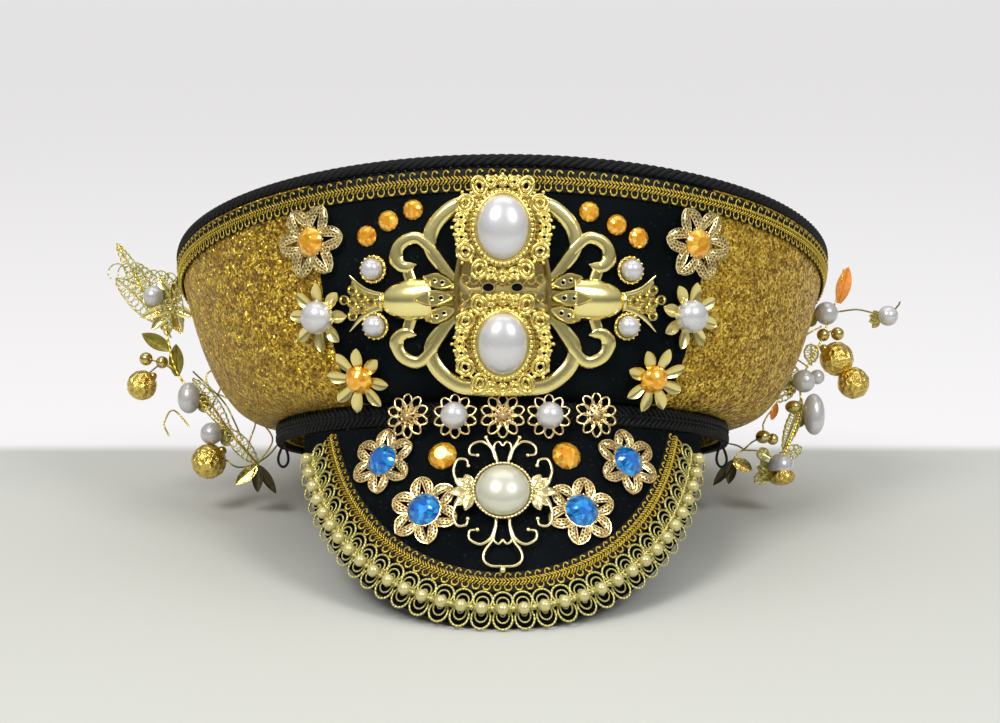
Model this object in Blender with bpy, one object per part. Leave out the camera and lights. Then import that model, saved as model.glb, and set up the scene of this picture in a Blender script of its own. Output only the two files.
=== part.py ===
"""A peaked stage cap worn as a tiara: a bowl-shaped wall on a head ring, a peak, jewels and two side sprays.

The cap is drawn upright, ring flat on z = 0, and one empty then leans it back to the way it
rests on a table: on the lip of its peak in front and on the back of its head band.
"""

import math

import bmesh
import bpy
import numpy as np

MM = 0.001

# Driving dimensions of the cap, in metres, in its own upright frame
RING_HALF_WIDTH = 0.0920
RING_HALF_DEPTH = 0.0985
RIM_HALF_WIDTH = 0.1380
RIM_HALF_DEPTH = 0.1220
RIM_BACK_SHIFT = 0.0025
RIM_MIDDLE_HEIGHT = 0.0742
RIM_SLOPE = 0.16
BOWL_START_HEIGHT = 0.0087
BOWL_POWER = 0.35
WALL_THICKNESS = 0.0020
SKIRT_BOTTOM = 0.0025
PANEL_SEAM_LEFT = math.radians(-32.0)
PANEL_SEAM_RIGHT = math.radians(35.5)
SEAM_HALF_GAP = math.radians(0.09)
GAP = 0.0003

BAND_HEIGHT = 0.0084
BAND_THICKNESS = 0.0034
BRAID_HEIGHT = 0.0050
BRAID_THICKNESS = 0.0042
TOP_GIMP_CENTRE = 0.0049
GIMP_WIDTH = 0.0086
PEAK_GIMP_WIDTH = 0.0076
GIMP_THICKNESS = 0.0011
TOP_THICKNESS = 0.0015
TOP_EDGE_GAP = 0.0012

PEAK_LENGTH = 0.0790
PEAK_LEAN = math.radians(18.8)
PEAK_HALF_ANGLE = math.radians(56.0)
PEAK_POWER = 2.0
PEAK_ROOT = 0.0016
PEAK_ROOT_DROP = 0.0007
PEAK_THICKNESS = 0.0020
PEAK_GIMP_INSET = 0.0168
LACE_INSET = 0.0064
LACE_WIDTH = 0.0120
LACE_THICKNESS = 0.0012
PEARL_EDGE_INSET = 0.0056
PEARL_EDGE_DIAMETER = 0.0046

# Where the leaning cap stands, so that the whole object's box is centred on the origin
SHIFT_X = -0.00135
SHIFT_Y = 0.0042

# The jewels, in millimetres; the angle goes round the ring from the front, positive to the right
PLATE_MIDDLE_HEIGHT = 45.0
PLATE_THICKNESS = 1.8
PLATE_REACH_UP = 0.98
PLATE_REACH_DOWN = 0.91
PLATE_KNEE_HEIGHT = 30.0
SETTINGS = (
    # name, height, half width, half height, pearl half width, pearl half height
    ("upper", 70.4, 18.3, 20.0, 9.6, 12.0),
    ("lower", 28.6, 18.0, 19.0, 9.2, 11.4),
)
STUDS = (
    # name, angle, height, diameter
    ("upper_left", -21.5, 56.9, 10.2),
    ("upper_right", 21.2, 56.5, 10.2),
    ("lower_left", -22.3, 36.2, 10.2),
    ("lower_right", 21.8, 36.0, 10.2),
)
SMALL_STONES = (
    # name, angle, height, diameter
    ("left_outer", -22.3, 69.3, 8.0),
    ("left_middle", -18.4, 74.4, 7.9),
    ("left_inner", -14.2, 78.0, 7.7),
    ("right_inner", 13.7, 77.2, 7.7),
    ("right_middle", 18.4, 72.9, 7.9),
    ("right_outer", 22.3, 68.6, 8.0),
)
WALL_FLOWERS = (
    # name, angle, height, diameter, petals, stone diameter, turn, lift, kind
    ("filigree_flower_left", -32.3, 69.0, 28.5, 6, 11.0, 90, 1.35, "stone"),
    ("filigree_flower_right", 33.1, 68.4, 28.5, 6, 11.0, 90, 1.1, "stone"),
    ("pearl_daisy_left", -33.1, 41.0, 26.0, 8, 13.4, 15, 0.3, "pearl"),
    ("pearl_daisy_right", 33.8, 41.5, 26.0, 8, 13.4, 15, 0.3, "pearl"),
    ("orange_daisy_left", -28.2, 17.4, 26.0, 8, 11.4, 10, 0.6, "stone"),
    ("orange_daisy_right", 29.8, 17.8, 26.0, 8, 11.4, 10, 0.6, "stone"),
)
ROW_DAISIES = (
    # name, angle, height, diameter, kind
    ("row_daisy_1", -20.9, 3.0, 16.6, "lace"),
    ("row_daisy_2", -10.2, 2.4, 16.4, "pearl"),
    ("row_daisy_3", 0.0, 2.4, 16.4, "lace"),
    ("row_daisy_4", 9.9, 2.4, 16.4, "pearl"),
    ("row_daisy_5", 20.6, 3.4, 16.6, "lace"),
)
ROW_LIFT = 2.3
PEAK_FLOWERS = (
    # name, angle, distance down the peak, diameter, petals, stone diameter, turn
    ("blue_flower_upper_left", -26.4, 14.4, 26.0, 6, 12.0, 0),
    ("blue_flower_upper_right", 27.6, 14.6, 26.0, 6, 12.0, 0),
    ("blue_flower_lower_left", -15.4, 34.6, 26.6, 6, 12.6, 12),
    ("blue_flower_lower_right", 15.4, 35.0, 26.6, 6, 12.6, -12),
)
PEAK_STONES = (
    # name, angle, distance down the peak, diameter
    ("peak_stone_left", -12.9, 12.8, 11.0),
    ("peak_stone_right", 13.7, 12.8, 11.0),
)
FILIGREE_DISTANCE = 28.4
FILIGREE_LIFT = 1.9
FILIGREE_THICKNESS = 1.3
PEAK_PEARL_DIAMETER = 20.0
PEAK_PEARL_BASE, PEAK_PEARL_RISE = 1.7, 7.2
PEAK_BEZEL = (
    # beyond the pearl's edge, above the filigree's under face
    (0.9, -0.1),
    (0.9, 2.8),
    (0.3, 2.8),
    (0.3, 1.35),
)
PEAK_POST_RADIUS = 4.0
SIDE_LEAF_ACROSS = 15.3

# One quarter of the central plate, across and up from its middle, and the widths of its strips
PLATE_C_SCROLL = ((0.0, 36.0), (9.5, 35.6), (18.0, 34.0), (25.0, 27.5), (26.8, 19.5), (22.5, 12.0), (15.0, 5.5))
PLATE_HOOK = ((13.0, 2.0), (22.5, 13.5), (27.5, 19.4), (33.0, 21.4), (37.8, 18.6), (38.6, 13.8), (35.6, 11.0))
PLATE_LINK = ((33.0, 6.5), (36.5, 12.0))
PLATE_ARM = ((42.5, 0.0), (50.0, 0.6), (57.0, 2.0))
PLATE_FIN = ((43.0, 2.4, 0.0), (49.0, 3.0, 0.4), (55.5, 6.5, 1.0))
PLATE_BODY = ((0.0, -17.0), (0.0, 0.0), (0.0, 17.0))
PLATE_BAR = ((-24.0, 0.0), (0.0, 0.0), (24.0, 0.0))
SCROLL_WIDTH, HOOK_WIDTH, LINK_WIDTH, ARM_WIDTH, FIN_WIDTH = 4.8, 4.2, 4.6, 6.0, 2.4
BODY_WIDTH, BAR_WIDTH = 30.0, 11.0
PLATE_LIFT = 0.4
BARREL_ANGLE = 14.7
BARREL_RINGS = (
    # half length, half width, height
    (11.6, 7.4, 0.0),
    (12.0, 7.9, 2.4),
    (9.0, 6.0, 5.0),
    (4.5, 3.0, 6.0),
)
SETTING_SEAT = 0.9
SETTING_PLATE = 1.2
SETTING_BEZEL = (
    # beyond the pearl's edge, above the setting's plate
    (2.0, 0.4),
    (1.2, 2.0),
    (0.4, 1.6),
    (0.4, 0.0),
)
SETTING_HOLES, SETTING_HOLE_RADIUS = 10, 1.7
OVAL_PEARL_BASE, OVAL_PEARL_RISE = 1.5, 6.0
# One quarter of the scrolls round the peak's pearl: across and up from the pearl
PEAK_STEM = ((1.7, 9.8), (2.6, 14.0), (4.6, 18.6), (7.0, 22.6), (5.0, 26.0), (0.0, 26.6))
PEAK_STEM_SHORTER = 0.6
PEAK_HOOK = ((2.2, 12.0), (4.6, 16.4), (8.4, 18.9), (12.0, 16.6), (11.4, 13.2), (8.6, 12.4))
PEAK_CORNER = ((10.6, 3.6), (16.4, 4.8), (17.2, 9.0), (15.0, 12.2), (11.6, 11.2), (9.8, 6.6))
PEAK_STEM_WIDTH, PEAK_CURL_WIDTH = 1.7, 1.6

# Side sprays: places in the cap's frame, millimetres, x measured outwards
SPRAY_PLANE = 12.0
LEFT_BALLS = (
    # outwards, up, diameter, height
    (152.0, 67.0, 9.4, 9.4),
    (154.5, 39.5, 5.8, 5.8),
    (156.0, 28.0, 13.2, 13.2),
    (135.5, 22.5, 10.0, 13.5),
    (125.5, 7.0, 9.6, 9.6),
    (126.3, -5.0, 15.4, 15.4),
)
LEFT_LEAVES = (
    # root outwards, root up, tip outwards, tip up, width
    (144.5, 50.0, 169.5, 91.0, 12.0),
    (144.0, 43.5, 156.5, 50.5, 6.0),
    (141.0, 32.0, 141.5, 46.0, 6.0),
    (117.5, 8.0, 134.0, 31.0, 7.0),
    (105.5, -6.0, 119.5, 9.5, 7.0),
    (105.5, -7.0, 114.5, -15.0, 5.0),
    (105.3, -7.0, 105.0, -18.5, 4.6),
    (104.5, -7.0, 97.0, -19.5, 4.0),
)
LEFT_WIRES = (
    # from outwards, from up, to outwards, to up
    (96.3, 3.0, 105.5, -6.0),
    (105.5, -6.0, 126.5, 17.0),
    (126.5, 17.0, 140.5, 33.0),
    (140.5, 33.0, 146.5, 53.0),
    (146.5, 53.0, 152.0, 67.0),
    (140.5, 33.0, 147.5, 38.0),
    (147.5, 38.0, 154.5, 39.5),
    (144.5, 36.0, 156.0, 28.0),
    (126.5, 17.0, 135.5, 22.5),
    (119.0, 9.0, 125.5, 7.0),
    (105.5, -6.0, 126.0, -5.0),
)
RIGHT_BALLS = (
    (141.0, 59.5, 10.2, 10.2),
    (167.8, 58.4, 8.8, 8.8),
    (145.6, 50.5, 5.8, 5.8),
    (145.0, 39.5, 15.0, 15.0),
    (152.0, 29.0, 14.0, 14.0),
    (130.6, 29.8, 10.0, 10.0),
    (134.6, 15.4, 9.6, 18.0),
    (126.0, 18.6, 7.6, 5.6),
    (112.5, 5.6, 6.6, 5.8),
    (119.9, -7.1, 11.2, 11.2),
)
RIGHT_LEAVES = (
    (146.6, 64.0, 151.0, 80.0, 6.4),
    (134.0, 38.0, 134.0, 46.0, 5.0),
    (121.0, 0.0, 129.5, 22.0, 5.0),
    (119.5, -3.0, 129.0, 1.0, 5.0),
    (116.0, -9.0, 108.5, -14.0, 5.0),
    (99.5, -4.5, 90.5, -15.5, 4.0),
    (99.5, -4.5, 97.0, -15.0, 4.4),
    (99.5, -4.5, 107.5, -9.0, 5.4),
)
RIGHT_WIRES = (
    (96.3, 3.0, 104.0, 0.0),
    (104.0, 0.0, 99.5, -4.5),
    (104.0, 0.0, 119.9, -5.0),
    (104.0, 0.0, 112.5, 5.6),
    (119.9, -5.0, 129.0, 17.5),
    (129.0, 17.5, 129.0, 29.8),
    (129.0, 29.8, 139.5, 50.0),
    (139.5, 50.0, 145.6, 50.5),
    (139.5, 50.0, 143.0, 60.0),
    (143.0, 60.0, 167.8, 58.4),
    (143.0, 60.0, 147.4, 66.0),
    (137.0, 45.0, 145.0, 39.5),
    (145.0, 39.5, 152.0, 29.0),
    (129.0, 20.0, 134.6, 15.4),
)
SPRAY_WIRE_RADIUS = 0.7
LEAF_THICKNESS = 1.2
LEAF_ROOT_OVERLAP = 1.8
WIRE_END_OVERLAP = 0.4
WIRE_STAGGER = 0.04

THREAD_LOOP_ANGLE = 72.0
THREAD_LOOP_DROP = 0.0010
THREAD_LOOP_HALF_WIDTH = 2.6
THREAD_LOOP_HALF_HEIGHT = 5.0
THREAD_RADIUS = 0.6

ROUND_STEPS = 48
BOWL_STEPS = 4
BEAD_SIDES = 10

# Materials: name, colour, roughness, metallic
FINISHES = {
    "black_velvet": ((0.008, 0.009, 0.011), 0.9, 0.0),
    "black_braid": ((0.012, 0.012, 0.014), 0.7, 0.0),
    "glitter_cloth": ((0.62, 0.42, 0.05), 0.45, 0.6),
    "gold_metal": ((0.83, 0.62, 0.18), 0.25, 1.0),
    "gold_thread": ((0.70, 0.50, 0.10), 0.45, 0.8),
    "pearl": ((0.90, 0.88, 0.84), 0.2, 0.0),
    "orange_glass": ((0.95, 0.38, 0.02), 0.08, 0.0),
    "blue_glass": ((0.01, 0.18, 0.80), 0.08, 0.0),
}


def clear_scene():
    for thing in list(bpy.data.objects):
        bpy.data.objects.remove(thing, do_unlink=True)


def make_finish(name):
    """One Principled material from the table of finishes."""
    if name in bpy.data.materials:
        return bpy.data.materials[name]
    colour, roughness, metallic = FINISHES[name]
    material = bpy.data.materials.new(name)
    material.use_nodes = True
    shader = material.node_tree.nodes["Principled BSDF"]
    shader.inputs["Base Color"].default_value = (*colour, 1.0)
    shader.inputs["Roughness"].default_value = roughness
    shader.inputs["Metallic"].default_value = metallic
    return material


# The leaning cap's frame
def lean_angle():
    """The angle at which the peak's lip and the band's back corner stand on one level."""
    sine, cosine = math.sin(PEAK_LEAN), math.cos(PEAK_LEAN)
    lip_forward = RING_HALF_DEPTH + PEAK_ROOT + PEAK_LENGTH * sine - PEAK_THICKNESS / 2 * cosine
    lip_down = PEAK_ROOT_DROP + PEAK_LENGTH * cosine + PEAK_THICKNESS / 2 * sine
    back_corner = RING_HALF_DEPTH + GAP + BAND_THICKNESS
    return math.atan2(lip_down, lip_forward + back_corner), back_corner


def make_rest_frame():
    """The empty that leans the cap back and lifts it onto its two points of support."""
    lean, back_corner = lean_angle()
    empty = bpy.data.objects.new("cap_frame", None)
    bpy.context.scene.collection.objects.link(empty)
    empty.rotation_euler = (-lean, 0.0, 0.0)
    empty.location = (SHIFT_X, SHIFT_Y, back_corner * math.sin(lean))
    return empty


def add_node(name, mesh, finish, frame):
    """One named object of the cap, parented to its leaning frame."""
    mesh.name = name
    thing = bpy.data.objects.new(name, mesh)
    bpy.context.scene.collection.objects.link(thing)
    mesh.materials.clear()
    mesh.materials.append(make_finish(finish))
    mesh.shade_smooth()
    mesh.set_sharp_from_angle(angle=math.radians(35))
    thing.parent = frame
    return thing


def mesh_from(points, faces):
    mesh = bpy.data.meshes.new("shape")
    mesh.from_pydata([tuple(p) for p in np.reshape(points, (-1, 3))], [], faces)
    mesh.validate()
    return mesh


# Surfaces of the cap
def bowl(angle, share, lift=0.0):
    """A point of the wall's outer face, share 0 at the bowl's foot to 1 at the rim, and its normal."""
    angle, share = np.broadcast_arrays(np.asarray(angle, float), np.asarray(share, float))

    def at(a, s):
        spread = np.clip(s, 0.0, 1.0) ** BOWL_POWER
        wide = RING_HALF_WIDTH + (RIM_HALF_WIDTH - RING_HALF_WIDTH) * spread
        deep = RING_HALF_DEPTH + (RIM_HALF_DEPTH - RING_HALF_DEPTH) * spread
        rise = BOWL_START_HEIGHT + (rim_height(a) - BOWL_START_HEIGHT) * s
        return np.stack([wide * np.sin(a), RIM_BACK_SHIFT * spread - deep * np.cos(a), rise], -1)

    step = 1e-4
    low, high = np.maximum(share - step, 0.0), np.minimum(share + step, 1.0)
    normal = np.cross(at(angle + step, share) - at(angle - step, share), at(angle, high) - at(angle, low))
    normal /= np.linalg.norm(normal, axis=-1, keepdims=True)
    return at(angle, share) + normal * lift, normal


def rim_height(angle):
    """The rim lies in one plane that falls towards the back."""
    return RIM_MIDDLE_HEIGHT - RIM_SLOPE * (RIM_BACK_SHIFT - RIM_HALF_DEPTH * np.cos(angle))


def share_at(angle, height):
    """The share of the bowl at which a given height lies."""
    return (height - BOWL_START_HEIGHT) / (rim_height(angle) - BOWL_START_HEIGHT)


def ring_outward(angle):
    """The head ring's outward direction, level with the ring."""
    across = np.sin(angle) / RING_HALF_WIDTH
    along = -np.cos(angle) / RING_HALF_DEPTH
    length = np.hypot(across, along)
    return np.stack([across / length, along / length, 0 * across], -1)


def ring_point(angle, lift, height):
    angle = np.asarray(angle, float)
    ring = np.stack([RING_HALF_WIDTH * np.sin(angle), -RING_HALF_DEPTH * np.cos(angle), 0 * angle], -1)
    up = np.array([0.0, 0.0, 1.0])
    return ring + ring_outward(angle) * np.asarray(lift)[..., None] + up * np.asarray(height)[..., None]


def peak_length(angle):
    """How far the peak reaches at an angle: a half moon that closes at its two tips."""
    return PEAK_LENGTH * (1.0 - np.abs(angle / PEAK_HALF_ANGLE) ** PEAK_POWER)


def peak_surface(angle, distance, lift=0.0):
    """A point of the peak's outer face, a distance down from the ring, and its normal."""
    angle, distance = np.broadcast_arrays(np.asarray(angle, float), np.asarray(distance, float))
    out = ring_outward(angle)
    up = np.array([0.0, 0.0, 1.0])
    down = out * math.sin(PEAK_LEAN) - up * math.cos(PEAK_LEAN)
    normal = out * math.cos(PEAK_LEAN) + up * math.sin(PEAK_LEAN)
    root = ring_point(angle, np.full(angle.shape, PEAK_ROOT), np.full(angle.shape, -PEAK_ROOT_DROP))
    return root + down * distance[..., None] + normal * lift, normal


def peak_inset(angle, inset, lift=0.0):
    """A curve on the peak that keeps a distance to its edge."""
    step = 1e-3
    reach = peak_length(angle)
    radius = RING_HALF_DEPTH + reach * math.sin(PEAK_LEAN)
    slope = (peak_length(angle + step) - peak_length(angle - step)) / (2 * step * radius)
    size = np.hypot(1.0, slope)
    moved = angle + inset * slope / size / radius
    return peak_surface(moved, reach - inset / size, lift)


# Closed bodies
def skin(outer, inner, closed=False):
    """A wall between two grids of points, closed round its edges; closed joins the first and last rows."""
    rows, columns = outer.shape[:2]
    points = np.concatenate([outer.reshape(-1, 3), inner.reshape(-1, 3)])
    size = rows * columns
    faces = []
    for i in range(rows if closed else rows - 1):
        j = (i + 1) % rows
        for k in range(columns - 1):
            a, b, c, d = i * columns + k, j * columns + k, j * columns + k + 1, i * columns + k + 1
            faces += [(a, b, c, d), (size + d, size + c, size + b, size + a)]
        for k in (0, columns - 1):
            a, b = i * columns + k, j * columns + k
            faces.append((b, a, size + a, size + b))
    if not closed:
        for i in (0, rows - 1):
            for k in range(columns - 1):
                a, b = i * columns + k, i * columns + k + 1
                faces.append((b, a, size + a, size + b))
    return outward(mesh_from(points, faces))


def sweep(centres, across, out, section, closed=False):
    """A section, points of (across, out), carried along a path; its ends are capped unless closed."""
    section = np.asarray(section, float)
    rows, sides = len(centres), len(section)
    points = centres[:, None] + section[:, 0, None] * across[:, None] + section[:, 1, None] * out[:, None]
    faces = []
    for i in range(rows if closed else rows - 1):
        j = (i + 1) % rows
        for k in range(sides):
            m = (k + 1) % sides
            faces.append((i * sides + k, i * sides + m, j * sides + m, j * sides + k))
    if not closed:
        faces.append(tuple(range(sides))[::-1])
        faces.append(tuple((rows - 1) * sides + k for k in range(sides)))
    return outward(mesh_from(points, faces))


def outward(mesh):
    """Turns every face of a closed mesh to point out of it."""
    shape = bmesh.new()
    shape.from_mesh(mesh)
    bmesh.ops.recalc_face_normals(shape, faces=shape.faces[:])
    shape.to_mesh(mesh)
    shape.free()
    return mesh


def stack(place, rings):
    """Rings of (radius along, radius up, height) joined bottom to top and capped.

    A ring's radii are numbers or arrays round it, in millimetres."""
    origin, right, up, normal = place
    sides = max(np.size(r[0]) for r in rings)
    turn = np.linspace(0, 2 * math.pi, sides, endpoint=False)
    points = []
    for along, upward, height in rings:
        along, upward, height = (np.broadcast_to(v, sides) * MM for v in (along, upward, height))
        points.append(
            origin
            + (along * np.cos(turn))[:, None] * right
            + (upward * np.sin(turn))[:, None] * up
            + height[:, None] * normal
        )
    faces = [tuple(range(sides))[::-1]]
    for i in range(len(rings) - 1):
        for k in range(sides):
            m = (k + 1) % sides
            faces.append((i * sides + k, i * sides + m, (i + 1) * sides + m, (i + 1) * sides + k))
    faces.append(tuple((len(rings) - 1) * sides + k for k in range(sides)))
    return outward(mesh_from(np.concatenate(points), faces))


def fuse(meshes, operation="UNION"):
    """One mesh from several that overlap, or the first with the others cut out of it."""
    bodies = []
    for mesh in meshes:
        body = bpy.data.objects.new("piece", mesh)
        bpy.context.scene.collection.objects.link(body)
        bodies.append(body)
    tools = bpy.data.collections.new("tools")
    for body in bodies[1:]:
        tools.objects.link(body)
    join = bodies[0].modifiers.new("join", "BOOLEAN")
    join.operation = operation
    join.solver = "EXACT"
    join.operand_type = "COLLECTION"
    join.collection = tools
    graph = bpy.context.evaluated_depsgraph_get()
    result = bpy.data.meshes.new_from_object(bodies[0].evaluated_get(graph))
    for body in bodies:
        bpy.data.objects.remove(body, do_unlink=True)
    bpy.data.collections.remove(tools)
    return result


# Places on the cap
def frame_at(point, normal, aside, lift, turn=0.0):
    """A jewel's place: its base point, right, up and outward directions, turned about the normal."""
    right = aside / np.linalg.norm(aside)
    up = np.cross(normal, right)
    cosine, sine = math.cos(math.radians(turn)), math.sin(math.radians(turn))
    return point + normal * lift * MM, right * cosine + up * sine, up * cosine - right * sine, normal


def bowl_place(degrees, height, lift, turn=0.0):
    angle = math.radians(degrees)
    share = share_at(angle, height * MM)
    point, normal = bowl(angle, share)
    aside = bowl(angle + 1e-3, share)[0] - bowl(angle - 1e-3, share)[0]
    return frame_at(point, normal, aside - normal * np.dot(aside, normal), lift, turn)


def peak_place(degrees, distance, lift, turn=0.0):
    angle = math.radians(degrees)
    point, normal = peak_surface(angle, distance * MM)
    aside = peak_surface(angle + 1e-3, distance * MM)[0] - peak_surface(angle - 1e-3, distance * MM)[0]
    return frame_at(point, normal, aside - normal * np.dot(aside, normal), lift, turn)


def band_place(degrees, height, lift):
    angle = math.radians(degrees)
    normal = ring_outward(angle)
    point = ring_point(angle, GAP + BAND_THICKNESS, height * MM)
    return frame_at(point, normal, np.cross([0.0, 0.0, 1.0], normal), lift)


def moved_place(place, across, upward, lift=0.0):
    """The same place, moved along its own directions by millimetres."""
    origin, right, up, normal = place
    return origin + (across * right + upward * up + lift * normal) * MM, right, up, normal


def smooth_path(points, steps):
    """A smooth curve through a few points, by Catmull-Rom."""
    points = np.asarray(points, float)
    ends = np.vstack([2 * points[0] - points[1], points, 2 * points[-1] - points[-2]])
    t = np.linspace(0, len(points) - 1, steps)
    i = np.minimum(t.astype(int), len(points) - 2)
    f = (t - i)[:, None]
    a, b, c, d = (ends[i + k] for k in range(4))
    return 0.5 * (2 * b + (c - a) * f + (2 * a - 5 * b + 4 * c - d) * f**2 + (3 * b - a - 3 * c + d) * f**3)


# The cap's body
def wall_panel(first, last, steps):
    """One panel of the wall: a short skirt behind the band and the bowl above it."""
    angles = np.linspace(first, last, steps + 1)[:, None]
    shares = np.linspace(0, 1, BOWL_STEPS + 1)[None] ** 2
    spot, normal = bowl(angles, shares)
    level = normal * np.array([1.0, 1.0, 0.0])
    level /= np.linalg.norm(level, axis=-1, keepdims=True)
    normal[:, 0], normal[:, -1] = level[:, 0], level[:, -1]
    sides = []
    for depth in (0.0, WALL_THICKNESS):
        rows = spot - normal * depth
        skirt = rows[:, :1].copy()
        skirt[..., 2] = SKIRT_BOTTOM
        sides.append(np.concatenate([skirt, rows], axis=1))
    return skin(*sides)


def rim_loop(inset):
    """The rim's loop, drawn in by a distance, with its outward and along-the-wall directions."""
    angles = np.linspace(0, 2 * math.pi, ROUND_STEPS, endpoint=False)
    spot, normal = bowl(angles, 1.0)
    level = normal * np.array([1.0, 1.0, 0.0])
    level /= np.linalg.norm(level, axis=-1, keepdims=True)
    return spot - level * inset, level, angles


def add_cap_body(frame):
    half = SEAM_HALF_GAP
    turn = 2 * math.pi
    front = wall_panel(PANEL_SEAM_LEFT + half, PANEL_SEAM_RIGHT - half, 12)
    right = wall_panel(PANEL_SEAM_RIGHT + half, math.pi - half, 22)
    left = wall_panel(math.pi + half, turn + PANEL_SEAM_LEFT - half, 22)
    add_node("front_panel", front, "black_velvet", frame)
    add_node("side_panel_left", left, "glitter_cloth", frame)
    add_node("side_panel_right", right, "glitter_cloth", frame)

    edge, _, _ = rim_loop(WALL_THICKNESS + TOP_EDGE_GAP)
    edge[:, 2] = RIM_MIDDLE_HEIGHT - RIM_SLOPE * edge[:, 1]
    plane_up = np.array([0.0, RIM_SLOPE, 1.0]) / math.hypot(1.0, RIM_SLOPE)
    points = np.concatenate([edge, edge - plane_up * TOP_THICKNESS])
    faces = [tuple(range(ROUND_STEPS)), tuple(ROUND_STEPS + k for k in range(ROUND_STEPS))[::-1]]
    for k in range(ROUND_STEPS):
        m = (k + 1) % ROUND_STEPS
        faces.append((m, k, ROUND_STEPS + k, ROUND_STEPS + m))
    add_node("top_panel", outward(mesh_from(points, faces)), "black_velvet", frame)


def rounded_section(width, thickness, sides):
    """A half-round section on its base line, as (across, out) points."""
    turn = np.linspace(0, math.pi, sides)
    return np.stack([np.cos(turn) * width / 2, np.sin(turn) * thickness / math.sin(turn[1])], -1)


def add_trims(frame):
    edge, level, angles = rim_loop(WALL_THICKNESS / 2)
    up = np.zeros_like(level) + np.array([0.0, 0.0, 1.0])
    half = BRAID_THICKNESS / 2
    turn = np.linspace(0, 2 * math.pi, 5, endpoint=False)
    section = np.stack([np.cos(turn) * half, GAP + BRAID_HEIGHT / 2 * (1 + np.sin(turn))], -1)
    add_node("top_edge_braid", sweep(edge, level, up, section, closed=True), "black_braid", frame)

    centre_share = 1.0 - TOP_GIMP_CENTRE / (rim_height(angles) - BOWL_START_HEIGHT)
    spot, normal = bowl(angles, centre_share, GAP + 0.0003)
    along = np.cross(normal, np.cross(up, normal))
    along /= np.linalg.norm(along, axis=-1, keepdims=True)
    section = rounded_section(GIMP_WIDTH, GIMP_THICKNESS, 4)
    add_node("top_gimp", sweep(spot, along, normal, section, closed=True), "gold_thread", frame)

    zero = np.zeros(ROUND_STEPS)
    spot = ring_point(angles, zero + GAP, zero + BAND_HEIGHT / 2)
    section = [
        (-BAND_HEIGHT / 2, 0.0),
        (BAND_HEIGHT / 2, 0.0),
        (BAND_HEIGHT * 0.4, BAND_THICKNESS),
        (-BAND_HEIGHT / 2, BAND_THICKNESS),
    ]
    add_node("head_band", sweep(spot, up, ring_outward(angles), section, closed=True), "black_braid", frame)


def add_peak(frame):
    angles = np.linspace(-PEAK_HALF_ANGLE, PEAK_HALF_ANGLE, 25)[:, None]
    least = 0.0012
    reach = np.maximum(peak_length(angles), least)
    shares = np.linspace(0, 1, 3)[None]
    outer = peak_surface(angles, reach * shares, PEAK_THICKNESS / 2)[0]
    inner = peak_surface(angles, reach * shares, -PEAK_THICKNESS / 2)[0]
    add_node("peak", skin(outer, inner), "black_velvet", frame)

    base = PEAK_THICKNESS / 2 + GAP
    for name, inset, ends, width, thick, lift, finish in (
        ("peak_gimp", PEAK_GIMP_INSET, 0.765, PEAK_GIMP_WIDTH, GIMP_THICKNESS, base + 0.0002, "gold_thread"),
        ("peak_lace", LACE_INSET, 0.90, LACE_WIDTH, LACE_THICKNESS, base + 0.0002, "gold_thread"),
        (
            "peak_edge_pearls",
            PEARL_EDGE_INSET,
            0.91,
            PEARL_EDGE_DIAMETER,
            PEARL_EDGE_DIAMETER * 0.8,
            base + 0.0002 + LACE_THICKNESS + GAP,
            "pearl",
        ),
    ):
        span = np.linspace(-PEAK_HALF_ANGLE, PEAK_HALF_ANGLE, 25) * ends
        spot, normal = peak_inset(span, inset, lift)
        along = np.gradient(spot, axis=0)
        across = np.cross(normal, along)
        across /= np.linalg.norm(across, axis=-1, keepdims=True)
        section = rounded_section(width, thick, 4)
        add_node(name, sweep(spot, across, normal, section), finish, frame)


# The jewels
def star(diameter, petals, valley, sides_per_petal):
    """Radii of a flower's outline: petal tips with valleys between them."""
    count = petals * sides_per_petal
    radius = np.full(count, diameter / 2)
    radius[::sides_per_petal] *= valley
    return radius


def dome_rings(radius, base, rise, steps, tall=None):
    """Rings of a round or oval dome on a base height."""
    tall = radius if tall is None else tall
    turn = np.linspace(0, math.pi / 2 * 0.86, steps)
    return [(radius * math.cos(t), tall * math.cos(t), base + rise * math.sin(t)) for t in turn]


def stone_rings(radius, base, rise):
    """Rings of a cut stone: girdle, crown and table."""
    return [
        (radius, radius, base),
        (radius, radius, base + rise * 0.35),
        (radius * 0.58, radius * 0.58, base + rise),
    ]


def flower(place, diameter, petals, stone, kind, valley):
    """A stamped flower with a pearl or a cut stone fused to its middle."""
    outline = star(diameter, petals, valley, 3 if petals == 6 else 2)
    plate = 1.1
    rings = [(outline, outline, 0.0), (outline, outline, plate)]
    if kind == "pearl":
        rings += dome_rings(stone / 2, plate, stone * 0.42, 3)
    else:
        rings += stone_rings(stone / 2, plate, stone * 0.30)
    return stack(place, rings)


def petal_cutters(place, diameter, petals, reach, size, squeeze):
    """Small three-sided cutters, one through each petal."""
    cutters = []
    for i in range(petals):
        turn = 2 * math.pi * (i + 0.5) / petals
        origin, right, up, normal = place
        spoke = right * math.cos(turn) + up * math.sin(turn)
        aside = np.cross(normal, spoke)
        at = (origin + spoke * diameter / 2 * reach * MM, spoke, aside, normal)
        ring = np.full(3, size)
        cutters.append(stack(at, [(ring, ring * squeeze, -4.0), (ring, ring * squeeze, 6.0)]))
    return cutters


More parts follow.
